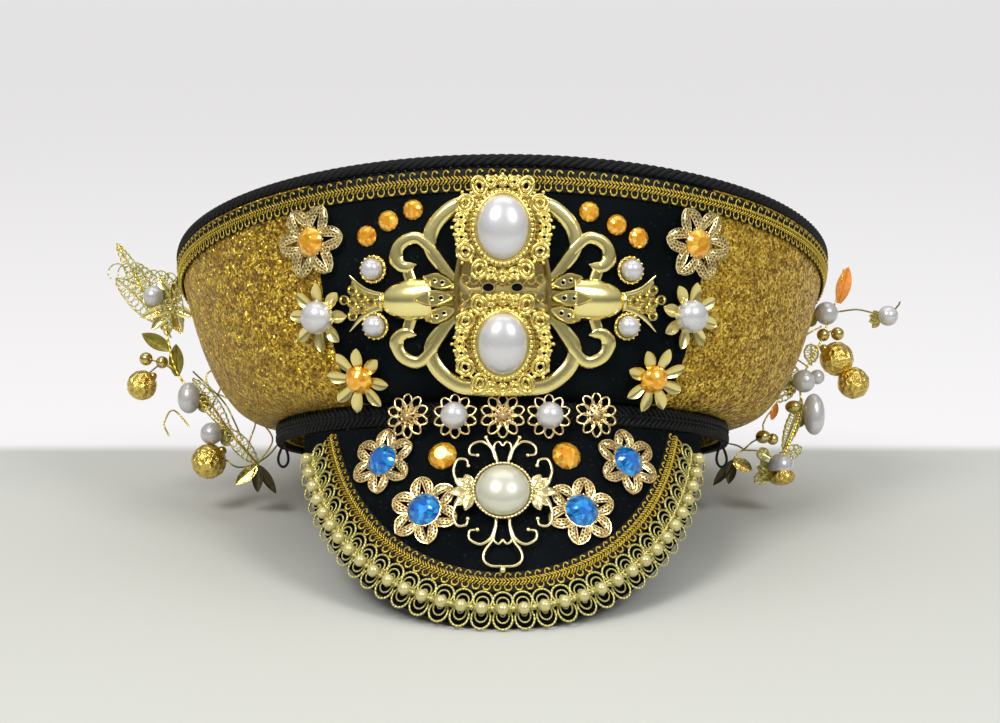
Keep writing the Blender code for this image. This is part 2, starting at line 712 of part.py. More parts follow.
def add_flowers(frame):
    for name, angle, height, diameter, petals, stone, turn, lift, kind in WALL_FLOWERS:
        place = bowl_place(angle, height, lift, turn)
        valley = 0.52 if petals == 6 else 0.55
        body = flower(place, diameter, petals, stone, kind, valley)
        if petals == 6:
            body = fuse([body] + petal_cutters(place, diameter, petals, 0.70, 2.6, 0.5), "DIFFERENCE")
        add_node(name, body, "gold_metal", frame)
    for name, angle, distance, diameter, petals, stone, turn in PEAK_FLOWERS:
        place = peak_place(angle, distance, PEAK_THICKNESS / 2 / MM + 0.3, turn)
        body = flower(place, diameter, petals, stone, "stone", 0.52)
        body = fuse([body] + petal_cutters(place, diameter, petals, 0.72, 2.6, 0.5), "DIFFERENCE")
        add_node(name, body, "gold_metal", frame)
    for name, angle, height, diameter, kind in ROW_DAISIES:
        place = band_place(angle, height, ROW_LIFT)
        outline = star(diameter, 8, 0.6, 2)
        foot = diameter * 0.16
        rings = [(foot, foot, 0.4 - ROW_LIFT), (foot, foot, 0.0), (outline, outline, 0.0), (outline, outline, 0.9)]
        rings += dome_rings(5.4, 0.9, 4.6, 3) if kind == "pearl" else dome_rings(2.6, 0.9, 0.9, 2)
        body = stack(place, rings)
        if kind == "lace":
            body = fuse([body] + petal_cutters(place, diameter, 8, 0.70, 1.5, 0.8), "DIFFERENCE")
        add_node(name, body, "gold_metal", frame)


def add_stones(frame):
    for name, angle, height, diameter in STUDS:
        radius = diameter / 2
        rings = [(radius, radius, 0.0), (radius, radius, 1.4), (radius * 0.72, radius * 0.72, 1.9)]
        rings += dome_rings(radius * 0.70, 2.0, radius * 0.6, 3)
        rings = [(np.full(BEAD_SIDES, r[0]), r[1], r[2]) for r in rings]
        add_node("pearl_stud_" + name, stack(bowl_place(angle, height, 0.3), rings), "gold_metal", frame)
    for name, angle, height, diameter in SMALL_STONES:
        rings = [(np.full(8, r[0]), r[1], r[2]) for r in stone_rings(diameter / 2, 0.0, 2.2)]
        add_node("orange_stone_" + name, stack(bowl_place(angle, height, 0.3), rings), "orange_glass", frame)
    for name, angle, distance, diameter in PEAK_STONES:
        lift = PEAK_THICKNESS / 2 / MM + 0.3
        rings = [(np.full(10, r[0]), r[1], r[2]) for r in stone_rings(diameter / 2, 0.0, 3.0)]
        add_node(name, stack(peak_place(angle, distance, lift), rings), "orange_glass", frame)


def plate_surface(across, height, lift):
    """The face that the stiff central plate follows: the bowl, carried on straight below the knee."""
    knee = PLATE_KNEE_HEIGHT * MM
    held = np.maximum(height, knee)
    angle = across / RIM_HALF_DEPTH
    for _ in range(4):
        angle = angle + (across - bowl(angle, share_at(angle, held))[0][:, 0]) / RIM_HALF_DEPTH
    spot, normal = bowl(angle, share_at(angle, held), lift)
    above = bowl(angle, share_at(angle, held + MM))[0] - bowl(angle, share_at(angle, held))[0]
    return spot + above / MM * (height - held)[:, None], normal


def ribbon_on_bowl(points, width, lift, thickness, steps):
    """A flat metal strip along a smooth curve of the plate, points as (across, up) from the plate's middle."""
    path = smooth_path(points, steps) * MM
    spot, normal = plate_surface(path[:, 0], PLATE_MIDDLE_HEIGHT * MM + path[:, 1], lift * MM)
    along = np.gradient(spot, axis=0)
    across = np.cross(normal, along)
    across /= np.linalg.norm(across, axis=-1, keepdims=True)
    half = width / 2 * MM
    section = [(-half, 0.0), (half, 0.0), (half * 0.5, thickness * MM), (-half * 0.5, thickness * MM)]
    return sweep(spot, across, normal, section)


def mirrored(points, side, flip):
    return [(across * side, up * flip) for across, up in points]


def scroll_plate():
    """The central plate: scrolls on four sides, two barrels and two flared arms, in one casting."""
    pieces = []

    def strip(points, width, above, thinner, steps):
        pieces.append(ribbon_on_bowl(points, width, PLATE_LIFT + above, PLATE_THICKNESS - thinner, steps))

    for side in (-1, 1):
        for flip, reach in ((-1, PLATE_REACH_DOWN), (1, PLATE_REACH_UP)):
            strip(mirrored([(x, y * reach) for x, y in PLATE_C_SCROLL], side, flip), SCROLL_WIDTH, 0.0, 0.0, 8)
            strip(mirrored(PLATE_HOOK, side, flip), HOOK_WIDTH, 0.1, 0.0, 7)
            strip([(side * x, rise + flip * y) for x, y, rise in PLATE_FIN], FIN_WIDTH, 0.15, 0.0, 3)
            strip(mirrored(PLATE_LINK, side, flip), LINK_WIDTH, 0.2, 0.4, 3)
        barrel = bowl_place(side * BARREL_ANGLE, PLATE_MIDDLE_HEIGHT, PLATE_LIFT)
        pieces.append(stack(barrel, [(np.full(10, long), wide, high) for long, wide, high in BARREL_RINGS]))
        strip(mirrored(PLATE_ARM, side, 1), ARM_WIDTH, 0.0, -0.6, 3)
    strip(PLATE_BODY, BODY_WIDTH, 0.05, 0.3, 4)
    strip(PLATE_BAR, BAR_WIDTH, 0.12, 0.2, 6)
    return fuse(pieces)


def oval_setting(place, half_width, half_height, pearl_width, pearl_height):
    """A pierced oval frame with a scalloped edge and a raised bezel round its pearl."""
    sides = 20
    wave = 1.0 + 0.045 * np.cos(np.arange(sides) * math.pi)
    rings = [(half_width * wave, half_height * wave, height) for height in (0.0, SETTING_PLATE)]
    for beyond, above in SETTING_BEZEL:
        rings.append((np.full(sides, pearl_width + beyond), pearl_height + beyond, SETTING_PLATE + above))
    bezel = SETTING_BEZEL[0][0]
    cutters = []
    for i in range(SETTING_HOLES):
        turn = 2 * math.pi * (i + 0.5) / SETTING_HOLES
        across = math.cos(turn) * (half_width + pearl_width + bezel) / 2
        upward = math.sin(turn) * (half_height + pearl_height + bezel) / 2
        hole = np.full(3, SETTING_HOLE_RADIUS)
        cutters.append(stack(moved_place(place, across, upward), [(hole, hole, -2.0), (hole, hole, 5.0)]))
    return fuse([stack(place, rings)] + cutters, "DIFFERENCE")


def add_central_ornament(frame):
    add_node("scroll_plate", scroll_plate(), "gold_metal", frame)
    lift = PLATE_LIFT + PLATE_THICKNESS + SETTING_SEAT
    for name, height, half_width, half_height, pearl_width, pearl_height in SETTINGS:
        place = bowl_place(0.0, height, lift)
        setting = oval_setting(place, half_width, half_height, pearl_width, pearl_height)
        add_node(name + "_setting", setting, "gold_metal", frame)
        domes = dome_rings(pearl_width, OVAL_PEARL_BASE, OVAL_PEARL_RISE, 4, pearl_height)
        rings = [(np.full(16, r[0]), r[1], r[2]) for r in domes]
        add_node(name + "_pearl", stack(place, rings), "pearl", frame)


def add_peak_ornament(frame):
    place = peak_place(0.0, FILIGREE_DISTANCE, PEAK_THICKNESS / 2 / MM + FILIGREE_LIFT)
    origin, right, up, normal = place
    pieces = []
    for side in (-1, 1):
        for flip in (-1, 1):
            for points in (PEAK_STEM, PEAK_HOOK, PEAK_CORNER):
                width = PEAK_STEM_WIDTH if points is PEAK_STEM else PEAK_CURL_WIDTH
                if flip > 0 and points is PEAK_STEM:
                    start = points[0][1]
                    points = [(x, start + (y - start) * PEAK_STEM_SHORTER) for x, y in points]
                path = smooth_path(mirrored(points, side, flip), 6)
                spot = origin + (path[:, :1] * right + path[:, 1:] * up) * MM
                along = np.gradient(spot, axis=0)
                across = np.cross(normal, along)
                across /= np.linalg.norm(across, axis=-1, keepdims=True)
                half = width / 2 * MM
                tall = FILIGREE_THICKNESS * MM
                section = [(-half, 0.0), (half, 0.0), (half * 0.4, tall), (-half * 0.4, tall)]
                pieces.append(sweep(spot, across, np.tile(normal, (len(spot), 1)), section))
        leaf = moved_place(place, side * SIDE_LEAF_ACROSS, 0.0, 0.05)
        pieces.append(stack(leaf, [(np.full(8, 4.6), 4.4, 0.0), (np.full(8, 3.4), 3.0, 1.4)]))
    radius = PEAK_PEARL_DIAMETER / 2
    post = np.full(16, PEAK_POST_RADIUS)
    bezel = [(post, post, 0.35 - FILIGREE_LIFT), (post, post, PEAK_BEZEL[0][1])]
    bezel += [(np.full(16, radius + beyond), radius + beyond, above) for beyond, above in PEAK_BEZEL]
    pieces.append(stack(place, bezel))
    add_node("peak_filigree", fuse(pieces), "gold_metal", frame)
    rings = [(np.full(16, r[0]), r[1], r[2]) for r in dome_rings(radius, PEAK_PEARL_BASE, PEAK_PEARL_RISE, 4)]
    add_node("peak_pearl", stack(place, rings), "pearl", frame)


# The side sprays and the thread loops
def spray(side, balls, leaves, wires):
    """Wires with pearls, balls and leaves, fused into one body."""
    pieces = []
    facing = np.array([0.0, -1.0, 0.0])
    for out, up, diameter, height in balls:
        centre = np.array([side * out, SPRAY_PLANE, up]) * MM
        turn = np.linspace(-math.pi / 2, math.pi / 2, 5)[1:-1]
        rings = [
            (np.full(BEAD_SIDES, diameter / 2 * math.cos(t)), diameter / 2 * math.cos(t), height / 2 * math.sin(t))
            for t in turn
        ]
        right, upright = np.array([1.0, 0.0, 0.0]), np.array([0.0, 0.0, 1.0])
        pieces.append(stack((centre, right, -facing, upright), rings))
    for root_out, root_up, tip_out, tip_up, width in leaves:
        root = np.array([side * root_out, SPRAY_PLANE, root_up]) * MM
        tip = np.array([side * tip_out, SPRAY_PLANE, tip_up]) * MM
        along = (tip - root) / np.linalg.norm(tip - root)
        root = root - along * LEAF_ROOT_OVERLAP * MM
        aside = np.cross(facing, along)
        length = np.linalg.norm(tip - root) / MM / 2
        at = ((root + tip) / 2, along, aside, facing)
        rings = [
            (np.full(6, length), width / 2, -LEAF_THICKNESS / 2),
            (np.full(6, length), width / 2, LEAF_THICKNESS / 2),
        ]
        pieces.append(stack(at, rings))
    turn = np.linspace(0, 2 * math.pi, 5, endpoint=False)
    section = np.stack([np.cos(turn), np.sin(turn)], -1) * SPRAY_WIRE_RADIUS * MM
    for i, (from_out, from_up, to_out, to_up) in enumerate(wires):
        back = SPRAY_PLANE + WIRE_STAGGER * (i % 3)
        ends = np.array([[side * from_out, back, from_up], [side * to_out, back, to_up]]) * MM
        along = (ends[1] - ends[0]) / np.linalg.norm(ends[1] - ends[0])
        ends = ends + np.array([-along, along]) * WIRE_END_OVERLAP * MM
        aside = np.cross(facing, along)
        pieces.append(sweep(ends, np.tile(aside, (2, 1)), np.tile(facing, (2, 1)), section))
    return fuse(pieces)


def thread_loop(degrees):
    """A short loop of elastic thread hanging under the band."""
    angle = math.radians(degrees)
    top = ring_point(angle, GAP + BAND_THICKNESS / 2, -THREAD_LOOP_DROP)
    along = np.cross([0.0, 0.0, 1.0], ring_outward(angle))
    turn = np.linspace(0, 2 * math.pi, 10, endpoint=False)
    wide, tall = THREAD_LOOP_HALF_WIDTH * MM, THREAD_LOOP_HALF_HEIGHT * MM
    spot = top + np.sin(turn)[:, None] * wide * along - (1 - np.cos(turn))[:, None] * tall * np.array([0, 0, 1.0])
    out = np.tile(ring_outward(angle), (10, 1))
    tangent = np.roll(spot, -1, axis=0) - np.roll(spot, 1, axis=0)
    across = np.cross(out, tangent)
    across /= np.linalg.norm(across, axis=-1, keepdims=True)
    ring = np.linspace(0, 2 * math.pi, 5, endpoint=False)
    section = np.stack([np.cos(ring), np.sin(ring)], -1) * THREAD_RADIUS * MM
    return sweep(spot, across, out, section, closed=True)


def add_sprays(frame):
    add_node("spray_left", spray(-1, LEFT_BALLS, LEFT_LEAVES, LEFT_WIRES), "gold_metal", frame)
    add_node("spray_right", spray(1, RIGHT_BALLS, RIGHT_LEAVES, RIGHT_WIRES), "gold_metal", frame)
    add_node("thread_loop_left", thread_loop(-THREAD_LOOP_ANGLE), "black_braid", frame)
    add_node("thread_loop_right", thread_loop(THREAD_LOOP_ANGLE), "black_braid", frame)


def main():
    clear_scene()
    frame = make_rest_frame()
    add_cap_body(frame)
    add_trims(frame)
    add_peak(frame)
    add_central_ornament(frame)
    add_peak_ornament(frame)
    add_flowers(frame)
    add_stones(frame)
    add_sprays(frame)


main()
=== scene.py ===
"""A jewelled peaked stage cap worn as a tiara, dressed over its fixed model.

Every piece is drawn in the cap's upright frame, ring flat on z = 0, and then leaned back
the way the cap rests: on the lip of its peak and on the back of its head band.
"""

import math

import bpy
import numpy as np
from bpy.props import FloatProperty, FloatVectorProperty, PointerProperty
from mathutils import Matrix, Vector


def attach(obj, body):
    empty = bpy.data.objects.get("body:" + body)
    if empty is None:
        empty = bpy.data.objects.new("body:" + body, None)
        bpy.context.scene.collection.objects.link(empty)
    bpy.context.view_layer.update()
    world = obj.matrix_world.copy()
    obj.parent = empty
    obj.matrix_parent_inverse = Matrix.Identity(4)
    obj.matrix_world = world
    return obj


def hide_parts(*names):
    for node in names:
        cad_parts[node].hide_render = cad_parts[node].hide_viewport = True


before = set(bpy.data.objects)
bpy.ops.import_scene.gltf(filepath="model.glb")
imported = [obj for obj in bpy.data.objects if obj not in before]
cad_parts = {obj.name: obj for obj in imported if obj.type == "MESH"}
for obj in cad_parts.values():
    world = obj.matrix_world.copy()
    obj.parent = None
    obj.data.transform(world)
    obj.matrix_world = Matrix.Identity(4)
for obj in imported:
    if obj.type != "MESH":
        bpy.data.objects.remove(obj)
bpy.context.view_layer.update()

bl_info = {
    "name": "Peaked Stage Cap Tiara",
    "version": (1, 0),
    "blender": (4, 5, 0),
    "location": "View3D > Sidebar > Tiara",
    "description": "Makes the cloth, trims, metalwork, stones and sprays of a peaked stage cap",
    "category": "Add Mesh",
}

MM = 0.001
TURN = 2 * math.pi

# The cap's sizes in metres, the same as the fixed model's
RING_WIDE, RING_DEEP = 0.0920, 0.0985
RIM_WIDE, RIM_DEEP, RIM_BACK = 0.1380, 0.1220, 0.0025
RIM_HIGH, RIM_SLOPE = 0.0742, 0.16
BOWL_FOOT, BOWL_POWER = 0.0087, 0.35
WALL, SKIRT, TOP_GAP = 0.0020, 0.0025, 0.0012
SEAM_LEFT, SEAM_RIGHT, SEAM_GAP = math.radians(-32.0), math.radians(35.5), math.radians(0.05)
GAP = 0.0003
BAND_HIGH, BAND_THICK = 0.0084, 0.0034
PEAK_LONG, PEAK_LEAN, PEAK_HALF = 0.0790, math.radians(18.8), math.radians(56.0)
PEAK_ROOT, PEAK_DROP, PEAK_THICK = 0.0016, 0.0007, 0.0020
SHIFT_X, SHIFT_Y = -0.00135, 0.0042
PLATE_MIDDLE, PLATE_KNEE = 45.0, 30.0
LACE_INSET, PEARL_INSET = 0.0064, 0.0056

LEAN_SIN, LEAN_COS = math.sin(PEAK_LEAN), math.cos(PEAK_LEAN)
LIP_FORWARD = RING_DEEP + PEAK_ROOT + PEAK_LONG * LEAN_SIN - PEAK_THICK / 2 * LEAN_COS
LIP_DOWN = PEAK_DROP + PEAK_LONG * LEAN_COS + PEAK_THICK / 2 * LEAN_SIN
BACK_CORNER = RING_DEEP + GAP + BAND_THICK
LEAN = math.atan2(LIP_DOWN, LIP_FORWARD + BACK_CORNER)
LIFT = BACK_CORNER * math.sin(LEAN)

UP = np.array([0.0, 0.0, 1.0])
ACROSS = np.array([1.0, 0.0, 0.0])
FRONT = np.array([0.0, -1.0, 0.0])


# Vectors and the cap's surfaces
def unit(v):
    return v / np.maximum(np.linalg.norm(v, axis=-1, keepdims=True), 1e-12)


def level(v):
    """The horizontal part of a direction, at length one."""
    return unit(v * np.array([1.0, 1.0, 0.0]))


def at_rest(points):
    """Leans the upright cap back: a turn about X, then a lift onto its two supports."""
    x, y, z = np.moveaxis(points, -1, 0)
    c, s = math.cos(LEAN), math.sin(LEAN)
    return np.stack([x + SHIFT_X, y * c + z * s + SHIFT_Y, -y * s + z * c + LIFT], -1)


def rim_height(angle):
    """The rim's plane, falling towards the back."""
    return RIM_HIGH - RIM_SLOPE * (RIM_BACK - RIM_DEEP * np.cos(angle))


def bowl(angle, share, lift=0.0):
    """The wall: ellipses that widen from ring to rim with share to the 0.35th power."""
    angle, share = np.broadcast_arrays(np.asarray(angle, float), np.asarray(share, float))

    def at(a, s):
        k = np.clip(s, 0.0, 1.0) ** BOWL_POWER
        wide = RING_WIDE + (RIM_WIDE - RING_WIDE) * k
        deep = RING_DEEP + (RIM_DEEP - RING_DEEP) * k
        rise = BOWL_FOOT + (rim_height(a) - BOWL_FOOT) * s
        return np.stack([wide * np.sin(a), RIM_BACK * k - deep * np.cos(a), rise], -1)

    e = 1e-4
    low, high = np.maximum(share - e, 0.0), np.minimum(share + e, 1.0)
    normal = unit(np.cross(at(angle + e, share) - at(angle - e, share), at(angle, high) - at(angle, low)))
    return at(angle, share) + normal * np.asarray(lift)[..., None], normal


def share_at(angle, height):
    return (height - BOWL_FOOT) / (rim_height(angle) - BOWL_FOOT)


def ring_outward(angle):
    return unit(np.stack([np.sin(angle) / RING_WIDE, -np.cos(angle) / RING_DEEP, 0 * angle], -1))


def ring_point(angle, lift, height):
    """The head ring's ellipse, moved outwards and up."""
    angle = np.asarray(angle, float)
    ring = np.stack([RING_WIDE * np.sin(angle), -RING_DEEP * np.cos(angle), 0 * angle], -1)
    return ring + ring_outward(angle) * np.asarray(lift)[..., None] + UP * np.asarray(height)[..., None]


def peak_length(angle):
    """A half moon: full length in front, none at its two tips."""
    return PEAK_LONG * (1.0 - np.abs(angle / PEAK_HALF) ** 2)


def peak_surface(angle, distance, lift=0.0):
    """The peak: straight lines that run down and out from the ring at one lean."""
    angle, distance = np.broadcast_arrays(np.asarray(angle, float), np.asarray(distance, float))
    out = ring_outward(angle)
    down = out * math.sin(PEAK_LEAN) - UP * math.cos(PEAK_LEAN)
    normal = out * math.cos(PEAK_LEAN) + UP * math.sin(PEAK_LEAN)
    root = ring_point(angle, np.full(angle.shape, PEAK_ROOT), np.full(angle.shape, -PEAK_DROP))
    return root + down * distance[..., None] + normal * np.asarray(lift)[..., None], normal


def peak_inset(angle, inset, lift=0.0):
    """A curve that keeps a distance to the peak's edge, squared off by the edge's slope."""
    e = 1e-3
    reach = peak_length(angle)
    radius = RING_DEEP + reach * math.sin(PEAK_LEAN)
    slope = (peak_length(angle + e) - peak_length(angle - e)) / (2 * e * radius)
    size = np.hypot(1.0, slope)
    return peak_surface(angle + inset * slope / size / radius, reach - inset / size, lift)


def plate_surface(points, lift):
    """The stiff central plate's face, from (across, up) in mm: the bowl, and straight on below the knee."""
    points = np.asarray(points, float) * MM
    across, height = points[..., 0], PLATE_MIDDLE * MM + points[..., 1]
    held = np.maximum(height, PLATE_KNEE * MM)
    angle = across / RIM_DEEP
    for _ in range(4):
        angle = angle + (across - bowl(angle, share_at(angle, held))[0][..., 0]) / RIM_DEEP
    spot, normal = bowl(angle, share_at(angle, held))
    above = (bowl(angle, share_at(angle, held + MM))[0] - spot) / MM
    return spot + above * (height - held)[..., None] + normal * np.asarray(lift)[..., None] * MM, normal


# Places: origin, right, up, out
def place_at(point, normal, aside, lift, turn=0.0):
    right = unit(aside - normal * np.dot(aside, normal))
    up = np.cross(normal, right)
    c, s = math.cos(math.radians(turn)), math.sin(math.radians(turn))
    return point + normal * lift * MM, right * c + up * s, up * c - right * s, normal


def bowl_place(degrees, height, lift, turn=0.0):
    a = math.radians(degrees)
    share = share_at(a, height * MM)
    point, normal = bowl(a, share)
    return place_at(point, normal, bowl(a + 1e-3, share)[0] - bowl(a - 1e-3, share)[0], lift, turn)


def peak_place(degrees, distance, lift, turn=0.0):
    a = math.radians(degrees)
    point, normal = peak_surface(a, distance * MM)
    aside = peak_surface(a + 1e-3, distance * MM)[0] - peak_surface(a - 1e-3, distance * MM)[0]
    return place_at(point, normal, aside, lift, turn)


def band_place(degrees, height, lift, turn=0.0):
    a = math.radians(degrees)
    normal = ring_outward(a)
    return place_at(ring_point(a, GAP + BAND_THICK, height * MM), normal, np.cross(UP, normal), lift, turn)


def put(place, points):
    """Points in mm along a place's right, up and out, as points of the cap."""
    origin, right, up, normal = place
    x, y, z = (np.asarray(points, float)[..., k, None] * MM for k in range(3))
    return origin + x * right + y * up + z * normal


def single(place, lift=0.0):
    """One place in the form of many, lifted outwards by mm."""
    return (place[0] + place[3] * lift * MM)[None], np.stack(place[1:])[None]


def put_many(places, points):
    """The same points at many places at once; each place is an origin and three directions."""
    origins, basis = places
    shape = (len(origins),) + (1,) * (np.ndim(points) - 1) + (3,)
    return origins.reshape(shape) + np.einsum("...k,mkx->m...x", np.asarray(points, float) * MM, basis)


def around(place, count, radius, lift=0.0, start=0.5, tall=None):
    """Places spaced round a circle or an oval about one place, each with its right pointing outwards."""
    origin, right, up, normal = place
    t = TURN * (np.arange(count) + start) / count
    tall = radius if tall is None else tall
    c, s = np.cos(t)[:, None], np.sin(t)[:, None]
    origins = origin + (c * radius * right + s * tall * up + lift * normal) * MM
    wide, high = (radius, tall) if radius else (1.0, 1.0)
    spoke = unit(c * high * right + s * wide * up)
    basis = np.stack([spoke, np.cross(normal, spoke), np.tile(normal, (count, 1))], 1)
    return origins, basis


def stations(path, normals, count, closed=False):
    """Places spaced evenly by arc length along a curve: right runs along it, up lies in the surface."""
    if closed:
        path, normals = np.vstack([path, path[:1]]), np.vstack([normals, normals[:1]])
    gone = np.concatenate([[0.0], np.cumsum(np.linalg.norm(np.diff(path, axis=0), axis=1))])
    at = np.arange(count) / count * gone[-1] if closed else np.linspace(0, gone[-1], count)

    def pick(values, where):
        return np.stack([np.interp(where, gone, values[:, k]) for k in range(3)], -1)

    step = gone[-1] * 1e-3
    ahead, behind = (at + step) % gone[-1] if closed else np.minimum(at + step, gone[-1]), at - step
    behind = behind % gone[-1] if closed else np.maximum(behind, 0)
    along = unit(pick(path, ahead) - pick(path, behind))
    normal = unit(pick(normals, at))
    up = unit(np.cross(normal, along))
    return pick(path, at), np.stack([along, up, normal], 1)


def curve(points, steps):
    """A Catmull-Rom curve through a few points, in any number of dimensions."""
    points = np.asarray(points, float)
    n = len(points)
    ends = np.vstack([2 * points[0] - points[1], points, 2 * points[-1] - points[-2]])
    t = np.linspace(0, n - 1, steps)
    i = np.minimum(t.astype(int), n - 2)
    f = (t - i)[:, None]
    a, b, c, d = (ends[i + k] for k in range(4))
    return 0.5 * (2 * b + (c - a) * f + (2 * a - 5 * b + 4 * c - d) * f**2 + (3 * b - a - 3 * c + d) * f**3)


def wobble(x, y, z, scale, seed=0.0):
    """Soft unevenness between -1 and 1: a product and sum of a few sines of position."""
    x, y, z = x * scale + seed, y * scale + seed * 1.7, z * scale - seed * 0.6
    a = np.sin(1.9 * x + 1.3 * y + np.sin(0.9 * z + seed))
    b = np.sin(2.3 * y - 1.1 * z + np.sin(1.7 * x))
    c = np.sin(1.5 * z + 2.1 * x + np.sin(1.2 * y - seed))
    return (a + b + c) / 3.0


# Profiles carried along paths
def swept(path, normal, section, closed=False):
    """Each point is path + across * s + out * t: across lies in the surface, (s, t) is the section."""
    path = np.asarray(path, float)
    if closed:
        along = np.roll(path, -1, -2) - np.roll(path, 1, -2)
    else:
        along = np.gradient(path, axis=-2)
    along = unit(along)
    across = unit(np.cross(np.broadcast_to(normal, path.shape), along))
    out = np.cross(along, across)
    s = np.asarray(section, float)
    return (
        path[..., None, :]
        + across[..., None, :] * s[..., 0, None]
        + out[..., None, :] * s[..., 1, None]
    )


def globe(sides, rows):
    """A unit sphere by latitude and longitude, without its two poles."""
    lat = np.linspace(-math.pi / 2, math.pi / 2, rows + 2)[1:-1, None]
    lon = np.linspace(0, TURN, sides, endpoint=False)[None]
    return np.stack([np.cos(lat) * np.cos(lon), np.cos(lat) * np.sin(lon), np.sin(lat) + 0 * lon], -1)


# A strip's section, as shares of its half width and its height
BEVELLED = np.array(
    [(-1, 0), (-1, 0.45), (-0.66, 0.95), (-0.3, 1), (0.3, 1), (0.66, 0.95), (1, 0.45), (1, 0)]
)


